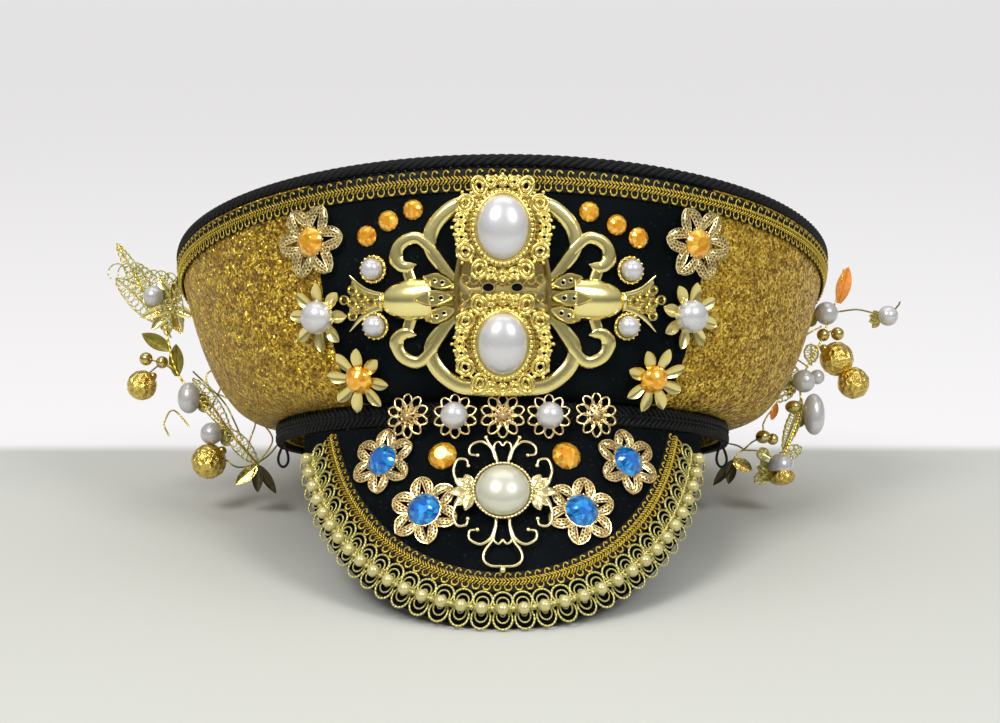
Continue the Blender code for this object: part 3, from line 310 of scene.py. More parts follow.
class Pile:
    """Closed grids gathered into one mesh, each face with its finish, pattern coordinates and a share of
    painted light: painted highlight on raised parts, painted shade on sunk ones.
    """

    def __init__(self):
        self.points, self.faces, self.corners, self.finishes, self.tones, self.count = [], [], [], [], [], 0

    def cover(self, faces, corners, finish, tone):
        """Faces over points that are in the pile already."""
        self.faces.append(faces)
        self.corners.append(corners)
        self.finishes.append(np.full(len(faces), finish))
        self.tones.append(np.broadcast_to(np.asarray(tone, float), (len(faces),)))

    def add(self, points, faces, corners, finish, tone):
        """New points with faces over them; gives back the number of the first point."""
        start = self.count
        self.points.append(points)
        self.count += len(points)
        self.cover(faces + start, corners, finish, tone)
        return start

    def grid(self, points, round_rows=False, caps=True, finish=0, tone=0.5, tile=(1.0, 1.0), pattern=None):
        """Quads over points[..., row, column, 3]. Columns run round; rows run round too, or are capped.

        The pattern coordinates grow by tile with each row and column, or are given for each of them.
        """
        rows, columns = points.shape[-3:-1]
        points = points.reshape(-1, rows, columns, 3)
        copies = len(points)
        i, j = np.meshgrid(np.arange(rows if round_rows else rows - 1), np.arange(columns), indexing="ij")
        ring = [(i, j), (i, j + 1), (i + 1, j + 1), (i + 1, j)]
        base = np.stack([(a % rows) * columns + b % columns for a, b in ring], -1).reshape(-1, 4)
        u, v = pattern or (np.arange(rows + 1) * tile[0], np.arange(columns + 1) * tile[1])
        uv = np.stack([np.stack([u[a], v[b]], -1) for a, b in ring], -2).reshape(-1, 4, 2)
        flip = self.inside_out(points[0].reshape(-1, 3), base)
        if flip:
            base, uv = base[:, ::-1], uv[:, ::-1]
        offset = (np.arange(copies) * rows * columns)[:, None, None]
        quads = (base[None] + offset).reshape(-1, 4)
        start = self.add(points.reshape(-1, 3), quads, np.tile(uv, (copies, 1, 1)), finish, tone)
        if caps and not round_rows:
            ends = np.stack([np.arange(columns)[::-1], (rows - 1) * columns + np.arange(columns)])
            if flip:
                ends = ends[:, ::-1]
            polygons = (ends[None] + offset).reshape(-1, columns) + start
            self.cover(polygons, np.zeros((len(polygons), columns, 2)), finish, tone)

    @staticmethod
    def inside_out(points, quads):
        """True where the closed shape's signed volume is negative."""
        p = points - points.mean(axis=0)
        a, b, c, d = (p[quads[:, k]] for k in range(4))
        volume = np.einsum("ij,ij->i", a, np.cross(b, c)) + np.einsum("ij,ij->i", a, np.cross(c, d))
        return volume.sum() < 0

    def tube(self, path, normal, radius, sides=6, closed=False, **look):
        """A round wire along a path; radius is one number or one for each point, in mm."""
        path = np.asarray(path, float)
        radius = np.broadcast_to(np.asarray(radius, float), path.shape[-2:-1]) * MM
        t = np.linspace(0, TURN, sides, endpoint=False)
        section = np.stack([np.cos(t), np.sin(t)], -1)[None] * radius[:, None, None]
        self.grid(swept(path, normal, section, closed), round_rows=closed, **look)

    def ribbon(self, path, normal, width, height, closed=False, **look):
        """A bevelled strip along a path; width and height are in mm and may vary."""
        n = np.shape(path)[-2]
        width = np.broadcast_to(np.asarray(width, float), n) * MM / 2
        height = np.broadcast_to(np.asarray(height, float), n) * MM
        section = BEVELLED[None] * np.stack([width, height], -1)[:, None]
        self.grid(swept(path, normal, section, closed), round_rows=closed, **look)

    def balls(self, places, radius, sides=12, rows=8, stretch=(1, 1, 1), **look):
        """Spheres at many places; radius in mm, stretch along the place's own axes."""
        origins, basis = places
        template = globe(sides, rows) * np.asarray(stretch, float) * MM
        self.grid(origins[:, None, None] + np.einsum("rck,mkx->mrcx", template, basis) * radius, **look)

    def turned(self, place, profile, sides=32, outline=1.0, tall=1.0, **look):
        """A profile of (radius, height) in mm turned about a place's outward direction."""
        profile = np.asarray(profile, float)
        t = np.linspace(0, TURN, sides, endpoint=False)
        r = profile[:, :1] * np.broadcast_to(outline, (sides,))[None]
        points = np.stack([r * np.cos(t), r * np.sin(t) * tall, profile[:, 1:] + 0 * r], -1)
        self.grid(put(place, points), **look)

    def piece(self, name, finishes, nodes, sharp):
        """The object: placed at rest, riding on the cap, standing for its fixed nodes."""
        mesh = bpy.data.meshes.new(name)
        points = at_rest(np.concatenate(self.points))
        sizes = np.concatenate([np.full(len(f), f.shape[1]) for f in self.faces])
        starts = np.concatenate([[0], np.cumsum(sizes)[:-1]])
        index = np.concatenate([f.ravel() for f in self.faces])
        corners = np.concatenate([c.reshape(-1, 2) for c in self.corners])
        mesh.vertices.add(len(points))
        mesh.vertices.foreach_set("co", points.astype(np.float32).ravel())
        mesh.loops.add(len(index))
        mesh.loops.foreach_set("vertex_index", index.astype(np.int32))
        mesh.polygons.add(len(sizes))
        mesh.polygons.foreach_set("loop_start", starts.astype(np.int32))
        mesh.update(calc_edges=True)
        uv = mesh.uv_layers.new(name="UVMap")
        uv.data.foreach_set("uv", corners.astype(np.float32).ravel())
        # Each face's painted light: painted highlight on raised parts, painted shade on backings, cups and
        # holes, and a random painted reflection on each stone facet
        tone = mesh.attributes.new("tone", "FLOAT", "FACE")
        tone.data.foreach_set("value", np.concatenate(self.tones).astype(np.float32))
        mesh.polygons.foreach_set("material_index", np.concatenate(self.finishes).astype(np.int32))
        for finish in finishes:
            mesh.materials.append(finish_material(finish))
        mesh.shade_smooth()
        mesh.set_sharp_from_angle(angle=math.radians(sharp))
        thing = bpy.data.objects.new(name, mesh)
        bpy.context.scene.collection.objects.link(thing)
        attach(thing, "root")
        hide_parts(*nodes)


# Shader arithmetic
class Wire:
    """A socket whose + - * and > add Math nodes."""

    def __init__(self, net, socket):
        self.net, self.socket = net, socket

    def math(self, operation, other=0.0):
        return self.net.node("Math", {"operation": operation}, [self, other])

    def __add__(self, other):
        return self.math("ADD", other)

    __radd__ = __add__

    def __mul__(self, other):
        return self.math("MULTIPLY", other)

    def __sub__(self, other):
        return self.math("SUBTRACT", other)

    def __gt__(self, other):
        return self.math("GREATER_THAN", other)

    def fraction(self):
        return self.math("FRACT")

    def floor(self):
        return self.math("FLOOR")

    def wave(self):
        return self.math("SINE")

    def clear(self):
        """The value held between 0 and 1."""
        return self.net.node("Clamp", {}, {"Value": self})

    def smooth(self, low, high):
        """A soft step from 0 at low to 1 at high."""
        settings = {"interpolation_type": "SMOOTHSTEP"}
        return self.net.node("MapRange", settings, {"Value": self, "From Min": low, "From Max": high})


class Net:
    """One material's nodes."""

    def __init__(self, name, **plain):
        self.material = bpy.data.materials.new(name)
        self.material.use_nodes = True
        self.tree = self.material.node_tree
        self.shader = self.tree.nodes["Principled BSDF"]
        for key, value in plain.items():
            self.shader.inputs[key.replace("_", " ")].default_value = value

    def node(self, kind, settings=None, inputs=None, output=0):
        """Any node: its type, its settings, and the values or links of its sockets."""
        made = self.tree.nodes.new("ShaderNode" + kind)
        for key, value in (settings or {}).items():
            setattr(made, key, value)
        pairs = enumerate(inputs) if isinstance(inputs, (list, tuple)) else (inputs or {}).items()
        for key, value in pairs:
            self.join(value, made.inputs[key])
        return Wire(self, made.outputs[output])

    def join(self, value, socket):
        if isinstance(value, Wire):
            self.tree.links.new(value.socket, socket)
        else:
            socket.default_value = value

    def place(self):
        return self.node("TexCoord", output="Object")

    def uv(self):
        return self.node("TexCoord", output="UV")

    # Reads each face's share of painted highlight and painted shade
    def tone(self):
        return self.node("Attribute", {"attribute_name": "tone"}, output="Fac")

    def noise(self, scale, detail=3.0):
        inputs = {"Vector": self.place(), "Scale": scale, "Detail": detail, "Roughness": 0.6}
        return self.node("TexNoise", {}, inputs)

    def cells(self, scale, output="Distance"):
        return self.node("TexVoronoi", {}, {"Vector": self.place(), "Scale": scale}, output)

    def mix(self, share, first, second):
        """A colour between two, by a share."""
        first, second = ((*c, 1.0) if isinstance(c, tuple) else c for c in (first, second))
        return self.node("Mix", {"data_type": "RGBA"}, {0: share, 6: first, 7: second}, output=2)

    def ramp(self, value, *stops):
        """A colour read off a ramp of (place, colour) stops."""
        made = self.node("ValToRGB", {}, {0: value})
        set_stops(made.socket.node.color_ramp, stops)
        return made

    def vector(self, operation, inputs):
        return self.node("VectorMath", {"operation": operation}, inputs)

    def parts(self, vector):
        made = self.node("SeparateXYZ", {}, [vector])
        return [Wire(self, made.socket.node.outputs[k]) for k in range(3)]

    def bump(self, height, strength, distance):
        normal = self.node("Bump", {}, {"Strength": strength, "Distance": distance, "Height": height})
        self.join(normal, self.shader.inputs["Normal"])

    def feed(self, **values):
        for key, value in values.items():
            self.join(value, self.shader.inputs[key.replace("_", " ")])
        return self.material


def set_stops(ramp, stops):
    """Gives a colour ramp its (place, colour) stops."""
    while len(ramp.elements) < len(stops):
        ramp.elements.new(1.0)
    for element, (place, colour) in zip(ramp.elements, stops):
        element.position, element.color = place, (*colour, 1.0)


# Finishes
def velvet(name):
    """Short bluish-black pile: soft brushed patches, fine fibre bump and stray lint."""
    net = Net(name, Specular_IOR_Level=0.05)
    brushed = net.noise(28.0, 4.0)
    speck = net.parts(net.cells(1400.0, output="Color"))[0] > 0.985
    colour = net.mix(brushed.smooth(0.35, 0.7), (0.0016, 0.0027, 0.0033), (0.0042, 0.0062, 0.0072))
    colour = net.mix(speck * 0.3, colour, (0.03, 0.033, 0.036))
    net.bump(net.noise(2600.0, 2.0) + brushed * 2.0, 0.35, 0.0004)
    return net.feed(Base_Color=colour, Roughness=0.78 + brushed * 0.2)


def cord(name):
    """Shiny black braid: fine threads wound round each strand, seen as slanted ridges."""
    net = Net(name, Specular_IOR_Level=0.22)
    along, round_, _ = net.parts(net.uv())
    threads = ((along * 2.4 + round_ * 1.2) * TURN).wave()
    dust = net.noise(420.0)
    colour = net.mix(dust, (0.0010, 0.0016, 0.0016), (0.0045, 0.0060, 0.0058))
    net.bump(threads * 0.4 + dust, 0.5, 0.00025)
    return net.feed(Base_Color=colour, Roughness=0.42 + dust * 0.25)


GLITTER_STOPS = (
    (0.0, (0.06, 0.026, 0.001)),
    (0.34, (0.26, 0.135, 0.004)),
    (0.6, (0.56, 0.33, 0.012)),
    (0.88, (0.98, 0.74, 0.12)),
)


def glitter(name):
    """Coarse gold glitter: flakes in two sizes, each tilted its own way, with brown gaps between."""
    net = Net(name)
    coarse = net.cells(900.0, output="Color")
    fine = net.cells(2000.0, output="Color")
    gaps = net.cells(900.0)
    clumps = net.noise(170.0, 2.0)
    r, g, _ = net.parts(coarse)
    p, q, _ = net.parts(fine)
    colour = net.ramp((r * 0.55 + p * 0.45) * (0.55 + clumps * 0.9), *GLITTER_STOPS)
    normal = net.node("NewGeometry", output="Normal")
    for flakes, tilt in ((coarse, 1.15), (fine, 0.9)):
        lean = net.vector("SUBTRACT", [flakes, (0.5, 0.5, 0.5)])
        normal = net.vector("ADD", [normal, net.vector("SCALE", {0: lean, "Scale": tilt})])
    normal = net.vector("NORMALIZE", [normal])
    shine = (q > 0.35) * 0.85
    return net.feed(Base_Color=colour, Metallic=shine, Roughness=0.2 + g * 0.3 + gaps * 0.1, Normal=normal)


def metal(name, pale, deep, rough, pits):
    """Plated metal: polish marks and small casting dents. The colour is lighter on rims, wires and beads and
    darker on backings, cups and pierced holes, by a share set for each face: painted highlight and painted
    shade.
    """
    net = Net(name)
    cast = net.noise(240.0)
    smear = net.noise(46.0)
    # Painted highlight and painted shade from each face's share, with random polish smears
    colour = net.mix((net.tone() * 1.1 - 0.05 + (smear - 0.5) * 0.25).clear(), deep, pale)
    net.bump(cast * pits + smear, 0.35, 0.0005)
    return net.feed(Base_Color=colour, Metallic=1.0, Roughness=rough + smear * 0.10)


def mesh_petal(name, pale, deep):
    """Stamped filigree leaf: rows of small slots cut through, worked out from the leaf's own coordinates.
    The colour darkens round each slot: painted shade at the slot's edge, with random smears.
    """
    net = Net(name)
    along, across, _ = net.parts(net.uv())
    slot_x = (along + across.floor() * 0.5).fraction() - 0.5
    slot_y = across.fraction() - 0.5
    away = slot_x * slot_x * 7.0 + slot_y * slot_y * 12.0
    hole = away.smooth(0.42, 0.62)
    edge = away.smooth(0.62, 1.4)
    smear = net.noise(300.0)
    # Darker round each slot: painted shade at the cut edge
    colour = net.mix((edge * 0.8 + smear * 0.3).clear(), deep, pale)
    net.bump(edge + smear * 0.4, 0.6, 0.0004)
    return net.feed(Base_Color=colour, Metallic=1.0, Roughness=0.2 + smear * 0.15, Alpha=hole)


def thread(name, pale, deep, metallic):
    """Metallic thread: fine windings along each strand. The colour is lighter on each winding's crest and
    darker between them: painted highlight and painted shade, with random fuzz.
    """
    net = Net(name)
    along, round_, _ = net.parts(net.uv())
    windings = ((along * 1.7 + round_ * 0.8) * TURN).wave() * 0.5 + 0.5
    fuzz = net.noise(700.0, 2.0)
    # Painted highlight on the windings' crests and painted shade in the grooves between them
    colour = net.mix((windings * 0.6 + fuzz * 0.4).clear(), deep, pale)
    net.bump(windings + fuzz, 0.5, 0.0002)
    return net.feed(Base_Color=colour, Metallic=metallic, Roughness=0.26 + fuzz * 0.2)


def pearl(name, body, blush):
    """Lacquered pearl: a milky body with faint clouds under a clear coat."""
    net = Net(name, Coat_Weight=0.7, Coat_Roughness=0.05, Metallic=0.35)
    cloud = net.noise(60.0, 2.0)
    colour = net.mix(cloud.smooth(0.35, 0.75) * 0.35, body, blush)
    return net.feed(Base_Color=colour, Roughness=0.23 + cloud * 0.08)


def cut_glass(name, dark, middle, light):
    """Foiled cut stone: every facet throws back its own share of light through the colour."""
    net = Net(name, Coat_Weight=1.0, Coat_Roughness=0.02)
    flash = net.parts(net.cells(520.0, output="Color"))[0]
    colour = net.ramp(net.tone() * 0.75 + flash * 0.3, (0.0, dark), (0.5, middle), (1.0, light))
    return net.feed(Base_Color=colour, Roughness=0.08 + flash * 0.1, Metallic=0.45)


def foil(name):
    """Crumpled foil: sharp random creases in bright gold, darker in each dent and brighter on the ridges
    between: painted shade and painted highlight.
    """
    net = Net(name)
    creases = net.cells(420.0)
    small = net.noise(900.0)
    # Dark in the dents and bright on the ridges: painted shade and painted highlight
    colour = net.mix((creases * 0.78 + small * 0.6).clear(), (0.45, 0.24, 0.02), (0.98, 0.76, 0.20))
    net.bump(creases * 2.0 + small, 0.9, 0.0006)
    return net.feed(Base_Color=colour, Metallic=1.0, Roughness=0.16 + small * 0.16)


def leaf(name, deep, pale, ridges, metallic, rough):
    """A stamped leaf: veins as a fine noise between two colours."""
    net = Net(name)
    veins = net.noise(500.0)
    net.bump(veins, ridges, 0.0003)
    return net.feed(Base_Color=net.mix(veins, deep, pale), Metallic=metallic, Roughness=rough + veins * 0.2)


# Each finish: its recipe and the recipe's values
FINISHES = {
    "black_velvet": (velvet,),
    "black_cord": (cord,),
    "gold_glitter": (glitter,),
    "gold_foil": (foil,),
    # painted highlight colour, painted shade colour, roughness, casting dents
    "polished_gold": (metal, (0.98, 0.86, 0.36), (0.34, 0.21, 0.03), 0.15, 0.35),
    "cast_gold": (metal, (0.98, 0.80, 0.25), (0.26, 0.14, 0.015), 0.18, 1.5),
    "pale_gold": (metal, (0.93, 0.82, 0.44), (0.45, 0.33, 0.10), 0.18, 0.8),
    "rose_gold": (metal, (0.95, 0.74, 0.36), (0.42, 0.23, 0.06), 0.2, 0.8),
    "antique_mesh": (mesh_petal, (0.88, 0.70, 0.33), (0.24, 0.14, 0.04)),
    "rose_mesh": (mesh_petal, (0.96, 0.76, 0.36), (0.36, 0.20, 0.05)),
    # painted highlight colour of the windings, painted shade colour between them, metallic value
    "gold_thread": (thread, (0.93, 0.72, 0.11), (0.42, 0.26, 0.015), 0.9),
    "lace_thread": (thread, (0.80, 0.74, 0.30), (0.34, 0.29, 0.06), 0.8),
    # body, clouds
    "white_pearl": (pearl, (0.64, 0.63, 0.64), (0.46, 0.45, 0.47)),
    "ivory_pearl": (pearl, (0.66, 0.65, 0.53), (0.48, 0.46, 0.34)),
    "champagne_pearl": (pearl, (0.62, 0.55, 0.24), (0.42, 0.36, 0.12)),
    # dark, middle and light facets
    "orange_stone": (cut_glass, (0.50, 0.12, 0.0), (0.92, 0.38, 0.0), (1.0, 0.74, 0.12)),
    "blue_stone": (cut_glass, (0.0, 0.03, 0.22), (0.0, 0.14, 0.60), (0.02, 0.50, 0.95)),
    # dark, pale, height of the veins, metallic value, roughness
    "olive_leaf": (leaf, (0.10, 0.085, 0.008), (0.42, 0.36, 0.06), 0.4, 0.75, 0.3),
    "dark_leaf": (leaf, (0.012, 0.012, 0.008), (0.09, 0.07, 0.02), 0.4, 0.6, 0.35),
    "orange_leaf": (leaf, (0.55, 0.14, 0.01), (0.90, 0.36, 0.05), 0.3, 0.2, 0.4),
}
MADE = {}


def finish_material(name):
    """The finish's material, made once, under a name of its own beside the fixed model's."""
    if name not in MADE:
        recipe, *values = FINISHES[name]
        MADE[name] = recipe(name + "_finish", *values)
    return MADE[name]


# Cloth
def wall_cloth(name, first, last, steps, rows, finish, node, slot, rough):
    """One wall panel: the bowl's face up, its edge, and the inner face down, with a slight unevenness."""
    angles = np.linspace(first, last, steps)[:, None]
    shares = np.linspace(0, 1, rows)[None] ** 1.6
    face, normal = bowl(angles, shares)
    sideways = level(normal)
    normal[:, 0], normal[:, -1] = sideways[:, 0], sideways[:, -1]
    x, y, z = np.moveaxis(face, -1, 0)
    uneven = wobble(x, y, z, 190.0) * 0.6 + wobble(x, y, z, 900.0, 2.0) * 0.4
    fade = np.sin(np.pi * np.clip(shares, 0.02, 0.98)) ** 0.3
    outer = face - normal * ((0.5 + 0.5 * uneven) * rough * MM * fade)[..., None]
    inner = (face - normal * WALL)[:, ::-1]
    foot_out, foot_in = outer[:, :1].copy(), inner[:, -1:].copy()
    foot_out[..., 2] = foot_in[..., 2] = SKIRT
    pile = Pile()
    pile.grid(np.concatenate([foot_out, outer, inner, foot_in], axis=1), tile=(0.1, 0.1))
    pile.piece(name, [finish], [node], sharp=50.0)


def wall_panels():
    """The velvet front and the two glitter sides, each a hair short of its seams."""
    front = SEAM_LEFT + SEAM_GAP, SEAM_RIGHT - SEAM_GAP
    wall_cloth("front_cloth", *front, 90, 44, "black_velvet", "front_panel", "black_velvet", 0.25)
    right = SEAM_RIGHT + SEAM_GAP, math.pi - SEAM_GAP
    wall_cloth("right_glitter", *right, 220, 70, "gold_glitter", "side_panel_right", "glitter_cloth", 0.5)
    left = math.pi + SEAM_GAP, TURN + SEAM_LEFT - SEAM_GAP
    wall_cloth("left_glitter", *left, 220, 70, "gold_glitter", "side_panel_left", "glitter_cloth", 0.5)


def top_cloth():
    """The closed top: a disc of the rim's own outline, sunk a little between its middle and its edge."""
    angles = np.linspace(0, TURN, 160, endpoint=False)
    edge, normal = bowl(angles, 1.0)
    edge = edge - level(normal) * (WALL + TOP_GAP)
    edge[:, 2] = RIM_HIGH - RIM_SLOPE * edge[:, 1]
    middle = edge.mean(axis=0)
    plane_up = unit(np.array([0.0, RIM_SLOPE, 1.0]))
    above, below = np.linspace(0.02, 1.0, 40), np.linspace(1.0, 0.02, 12)
    shares = np.concatenate([above, below])[:, None, None]
    points = middle + (edge - middle)[None] * shares
    sag = np.concatenate([np.sin(above * math.pi) * 0.5, np.full(len(below), 1.5)])[:, None]
    uneven = (0.5 + 0.5 * wobble(points[..., 0], points[..., 1], points[..., 2], 60.0)) * 0.4
    sag = sag + np.where(sag < 1.0, uneven * np.sin(shares[..., 0] * math.pi), 0.0)
    pile = Pile()
    pile.grid(points - plane_up * (sag * MM)[..., None])
    pile.piece("top_cloth", ["black_velvet"], ["top_panel"], sharp=50.0)


def peak_cloth():
    """The stiff peak: its face, a rounded lip and its under face, closed at the two tips."""
    angles = np.linspace(-PEAK_HALF * 0.995, PEAK_HALF * 0.995, 121)[:, None]
    reach = np.maximum(peak_length(angles), 0.0014)
    half = PEAK_THICK / 2
    shares = np.linspace(0, 1, 26)[None]
    down = reach - half
    face = peak_surface(angles, down * shares, half)[0]
    turn = np.linspace(math.pi / 2, -math.pi / 2, 7)[None]
    lip = peak_surface(angles, down + half * np.cos(turn), half * np.sin(turn))[0]
    back = peak_surface(angles, down * shares[:, ::-1], -half)[0]
    pile = Pile()
    pile.grid(np.concatenate([face, lip[:, 1:-1], back], axis=1), tile=(0.1, 0.1))
    pile.piece("peak_cloth", ["black_velvet"], ["peak"], sharp=60.0)


# Trims. The rope's strands, its turns round the rim, its half width and height, and a strand's radius
ROPE_STRANDS, ROPE_TURNS = 4, 62
ROPE_WIDE, ROPE_TALL, ROPE_WIRE = 0.85, 1.22, 1.27
LACE_ARCHES = 33
# Above the peak's mid surface: where its trims lie, in metres, and its upper face, in mm
PEAK_FACE = PEAK_THICK / 2 + GAP
PEAK_TOP = PEAK_THICK / 2 / MM


def rope_braid():
    """The rim's rope: strands that wind round the rim's line as helices, squeezed narrow and tall."""
    t = np.linspace(0, TURN, 2880, endpoint=False)
    edge, normal = bowl(t, 1.0)
    outwards = level(normal)
    line = edge - outwards * (WALL / 2) + UP * (GAP + 0.0022)
    pile = Pile()
    for strand in range(ROPE_STRANDS):
        turn = t * ROPE_TURNS + strand * TURN / ROPE_STRANDS
        aside, rise = np.cos(turn) * ROPE_WIDE * MM, np.sin(turn) * ROPE_TALL * MM
        centre = line + outwards * aside[:, None] + UP * rise[:, None]
        pile.tube(centre, outwards, ROPE_WIRE, sides=7, closed=True, tile=(0.35, 1 / 7))
    pile.piece("rope_braid", ["black_cord"], ["top_edge_braid"], sharp=80.0)


def loop_wire(centre, wide, tall, steps=12, lift=0.4, pinch=0.0):
    """A closed loop of wire: an oval, pinched towards its foot."""
    t = np.linspace(0, TURN, steps, endpoint=False)
    y = -np.cos(t) * tall
    x = np.sin(t) * wide * (1 - pinch * 0.5 * (1 + np.cos(t)))
    return np.stack([x + centre[0], y + centre[1], 0 * t + lift], -1)


def gimp(name, places, node, pitch, width, closed):
    """Gold gimp on black tape: a dense herringbone spine, hooks tipped with beads above, U loops below."""
    pile = Pile()
    half = width / 2
    origins, basis = places
    out = basis[:, 2][:, None, :]
    fine = {"sides": 5, "tile": (0.5, 0.2)}
    pile.ribbon(origins, basis[:, 2], width * 0.98, 0.35, closed=closed, finish=1, tile=(0.5, 0.5))
    for k in range(3):
        x = pitch * (k - 1) / 3
        for side in (1, -1):
            strand = [(x - 0.75, side * 1.35, 0.45), (x - 0.2, side * 0.75, 0.9)]
            strand += [(x + 0.55, side * 0.05, 0.8)]
            pile.tube(put_many(places, strand), out, (0.22, 0.33, 0.24), **fine)
    hook = [(-0.9, 1.2, 0.5), (-1.05, half - 1.9, 0.55), (-0.55, half - 0.75, 0.6)]
    hook += [(0.3, half - 0.5, 0.6), (0.85, half - 1.2, 0.6)]
    pile.tube(put_many(places, hook), out, (0.18, 0.20, 0.22, 0.26, 0.32), **fine)
    pile.balls((put_many(places, [hook[-1]])[:, 0], basis), 0.50, sides=7, rows=4)
    arm = [(-1.15, -1.2, 0.5), (-1.3, 1.7 - half, 0.55), (-0.85, 0.7 - half, 0.6)]
    loop = arm + [(0.0, 0.42 - half, 0.6)] + [(-x, y, z) for x, y, z in reversed(arm)]
    pile.tube(put_many(places, loop), out, (0.16, 0.2, 0.36, 0.52, 0.36, 0.2, 0.16), **fine)
    pile.piece(name, ["gold_thread", "black_cord"], [node], sharp=80.0)


def top_gimp():
    """The gimp round the wall, 4.9 mm below the rim."""
    angles = np.linspace(0, TURN, 1440, endpoint=False)
    share = 1.0 - 0.0049 / (rim_height(angles) - BOWL_FOOT)
    spot, normal = bowl(angles, share, 0.0004)
    gimp("top_gimp_braid", stations(spot, normal, 196, closed=True), "top_gimp", 4.05, 8.6, True)


def peak_line(inset, ends, lift, count):
    """Places at one distance from the peak's edge, up to a share of the way to its tips."""
    span = np.linspace(-PEAK_HALF, PEAK_HALF, 600) * ends
    spot, normal = peak_inset(span, inset, lift)
    return stations(spot, normal, count)


def peak_gimp():
    gimp("peak_gimp_braid", peak_line(0.0168, 0.91, PEAK_FACE, 58), "peak_gimp", 3.95, 7.6, False)


def lace_edge():
    """The peak's lace: three nested arches on both sides of a twisted cord."""
    places = peak_line(LACE_INSET, 0.905, PEAK_FACE + 0.0002, LACE_ARCHES)
    out = places[1][:, 2][:, None, :]
    pile = Pile()
    arches = ((3.45, 3.2, 0.44, 0.5), (2.2, 2.2, 0.34, 0.55), (1.05, 1.2, 0.3, 0.6))
    for side, grow in ((1, 1.0), (-1, 1.19)):
        for wide, tall, wire, lift in arches:
            loop = loop_wire((0.0, side * (tall * grow - 0.05)), wide, tall * grow, 20, lift)
            pile.tube(put_many(places, loop), out, wire, sides=6, closed=True, tile=(0.5, 1 / 6))
    steps = 420
    line, basis = peak_line(LACE_INSET, 0.91, PEAK_FACE + 0.0003, steps)
    up, normal = basis[:, 1], basis[:, 2]
    for strand in range(3):
        turn = (np.arange(steps) * TURN / 8 + strand * TURN / 3)[:, None]
        path = line + (up * np.cos(turn) * 0.95 + normal * (0.7 + np.sin(turn) * 0.4)) * MM
        pile.tube(path, normal, 0.48, sides=5, tile=(0.3, 0.2))
    pile.piece("lace_edge", ["lace_thread"], ["peak_lace"], sharp=80.0)


def edge_pearls():
    """The pearls sewn on the lace, with a short link and a bead between each two."""
    lace_top = PEAK_FACE + 0.0002 + 0.0012
    spots, basis = peak_line(PEARL_INSET, 0.895, lace_top + GAP + 0.0019, LACE_ARCHES)
    pile = Pile()
    pile.balls((spots, basis), 2.3, sides=20, rows=12)
    link = np.stack([spots[:-1], spots[1:]], 1)
    pile.tube(link, basis[:-1, 2][:, None, :], 0.35, sides=6, finish=1)
    pile.balls(((spots[:-1] + spots[1:]) / 2, basis[:-1]), 0.95, sides=10, rows=6, finish=1)
    finishes = ["champagne_pearl", "lace_thread"]
    pile.piece("edge_pearl_row", finishes, ["peak_edge_pearls"], sharp=80.0)


def head_band():
    """The band: a flat core under two rows of slanted strands that meet in a herringbone."""
    angles = np.linspace(0, TURN, 1440, endpoint=False)
    normal = ring_outward(angles)
    spot = ring_point(angles, np.full(1440, GAP), np.full(1440, BAND_HIGH / 2))
    pile = Pile()
    core = np.array([(-0.94, 0.0), (0.94, 0.0), (0.98, 0.45), (0.9, 0.74), (-0.9, 0.74), (-0.98, 0.45)])
    core = core * [BAND_HIGH / 2, BAND_THICK]
    pile.grid(swept(spot[::4], normal[::4], core, True), round_rows=True)
    places = stations(spot, normal, 236, closed=True)
    out = places[1][:, 2][:, None, :]
    deep = BAND_THICK / MM
    for side in (1, -1):
        strand = [(-1.9, side * 3.55, 0.5), (-1.5, side * 3.75, deep - 1.3), (-0.3, side * 2.5, deep - 0.85)]
        strand += [(1.0, side * 1.1, deep - 0.8), (1.9, side * 0.25, deep - 1.4)]
        pile.tube(put_many(places, strand), out, (0.45, 0.72, 0.82, 0.8, 0.4), sides=6, tile=(0.6, 1 / 6))
    pile.piece("band_braid", ["black_cord"], ["head_band"], sharp=80.0)


# The central ornament, in mm across and up from the plate's middle: one quarter of its strips, mirrored to
# the others, and one side's web and rings
C_SCROLL = ((0.0, 36.0), (9.5, 35.6), (18.0, 34.0), (25.0, 27.5), (26.8, 19.5), (22.5, 12.0), (15.0, 5.5))
C_REACH = {1: 0.98, -1: 0.91}
HOOK = (
    (13.0, 2.0), (19.5, 9.5), (25.5, 17.5), (31.5, 22.6), (37.4, 20.6), (39.2, 15.6), (36.4, 12.0),
    (31.6, 12.8),
)
LINK = ((33.4, 6.0), (35.4, 11.8))
FIN = ((43.6, 2.6), (47.5, 3.4), (52.0, 5.6), (56.6, 10.2))
WEB = ((42.6, 0.0), (47.0, 0.3), (51.5, 0.8), (56.6, 1.6))
ARM_RINGS = (
    (45.0, 0.1), (48.6, 0.2), (52.2, -2.1), (52.3, 2.3), (55.6, -4.6), (55.8, 0.1), (55.7, 4.8), (58.8, 1.4),
)
PLATE_LIFT = 0.35
BARREL_ANGLE = 14.7


def taper(steps, at, values):
    """A size for each step of a path, from its values at a few shares of the way."""
    return np.interp(np.linspace(0, 1, steps), at, values)


def plate_strip(pile, points, steps, lift, width, height, side=1, flip=1, tone=0.85):
    """A bevelled strip on the plate's face, through a few points."""
    path, normal = plate_surface(curve(points, steps) * np.array([side, flip]), lift)
    pile.ribbon(path, normal, width, height, tone=tone)


def plate_place(across, height, lift):
    spot, normal = plate_surface(np.array([across, height]), lift)
    return place_at(spot, normal, ACROSS, 0.0)


def leaf_outline(long, wide, steps):
    """A pointed leaf's edge: half width goes as the sine of the way along."""
    t = np.linspace(0, TURN, steps, endpoint=False)
    s = 0.5 - 0.5 * np.cos(t)
    return np.stack([s * long, np.sign(np.sin(t)) * wide / 2 * np.sin(np.pi * s) ** 0.8, 0 * t], -1)


def layers(edge, steps):
    """Copies of a leaf's edge, each narrowed by a share and lifted."""
    return np.stack([edge * [1, share, 1] + [0, 0, lift] for share, lift in steps])


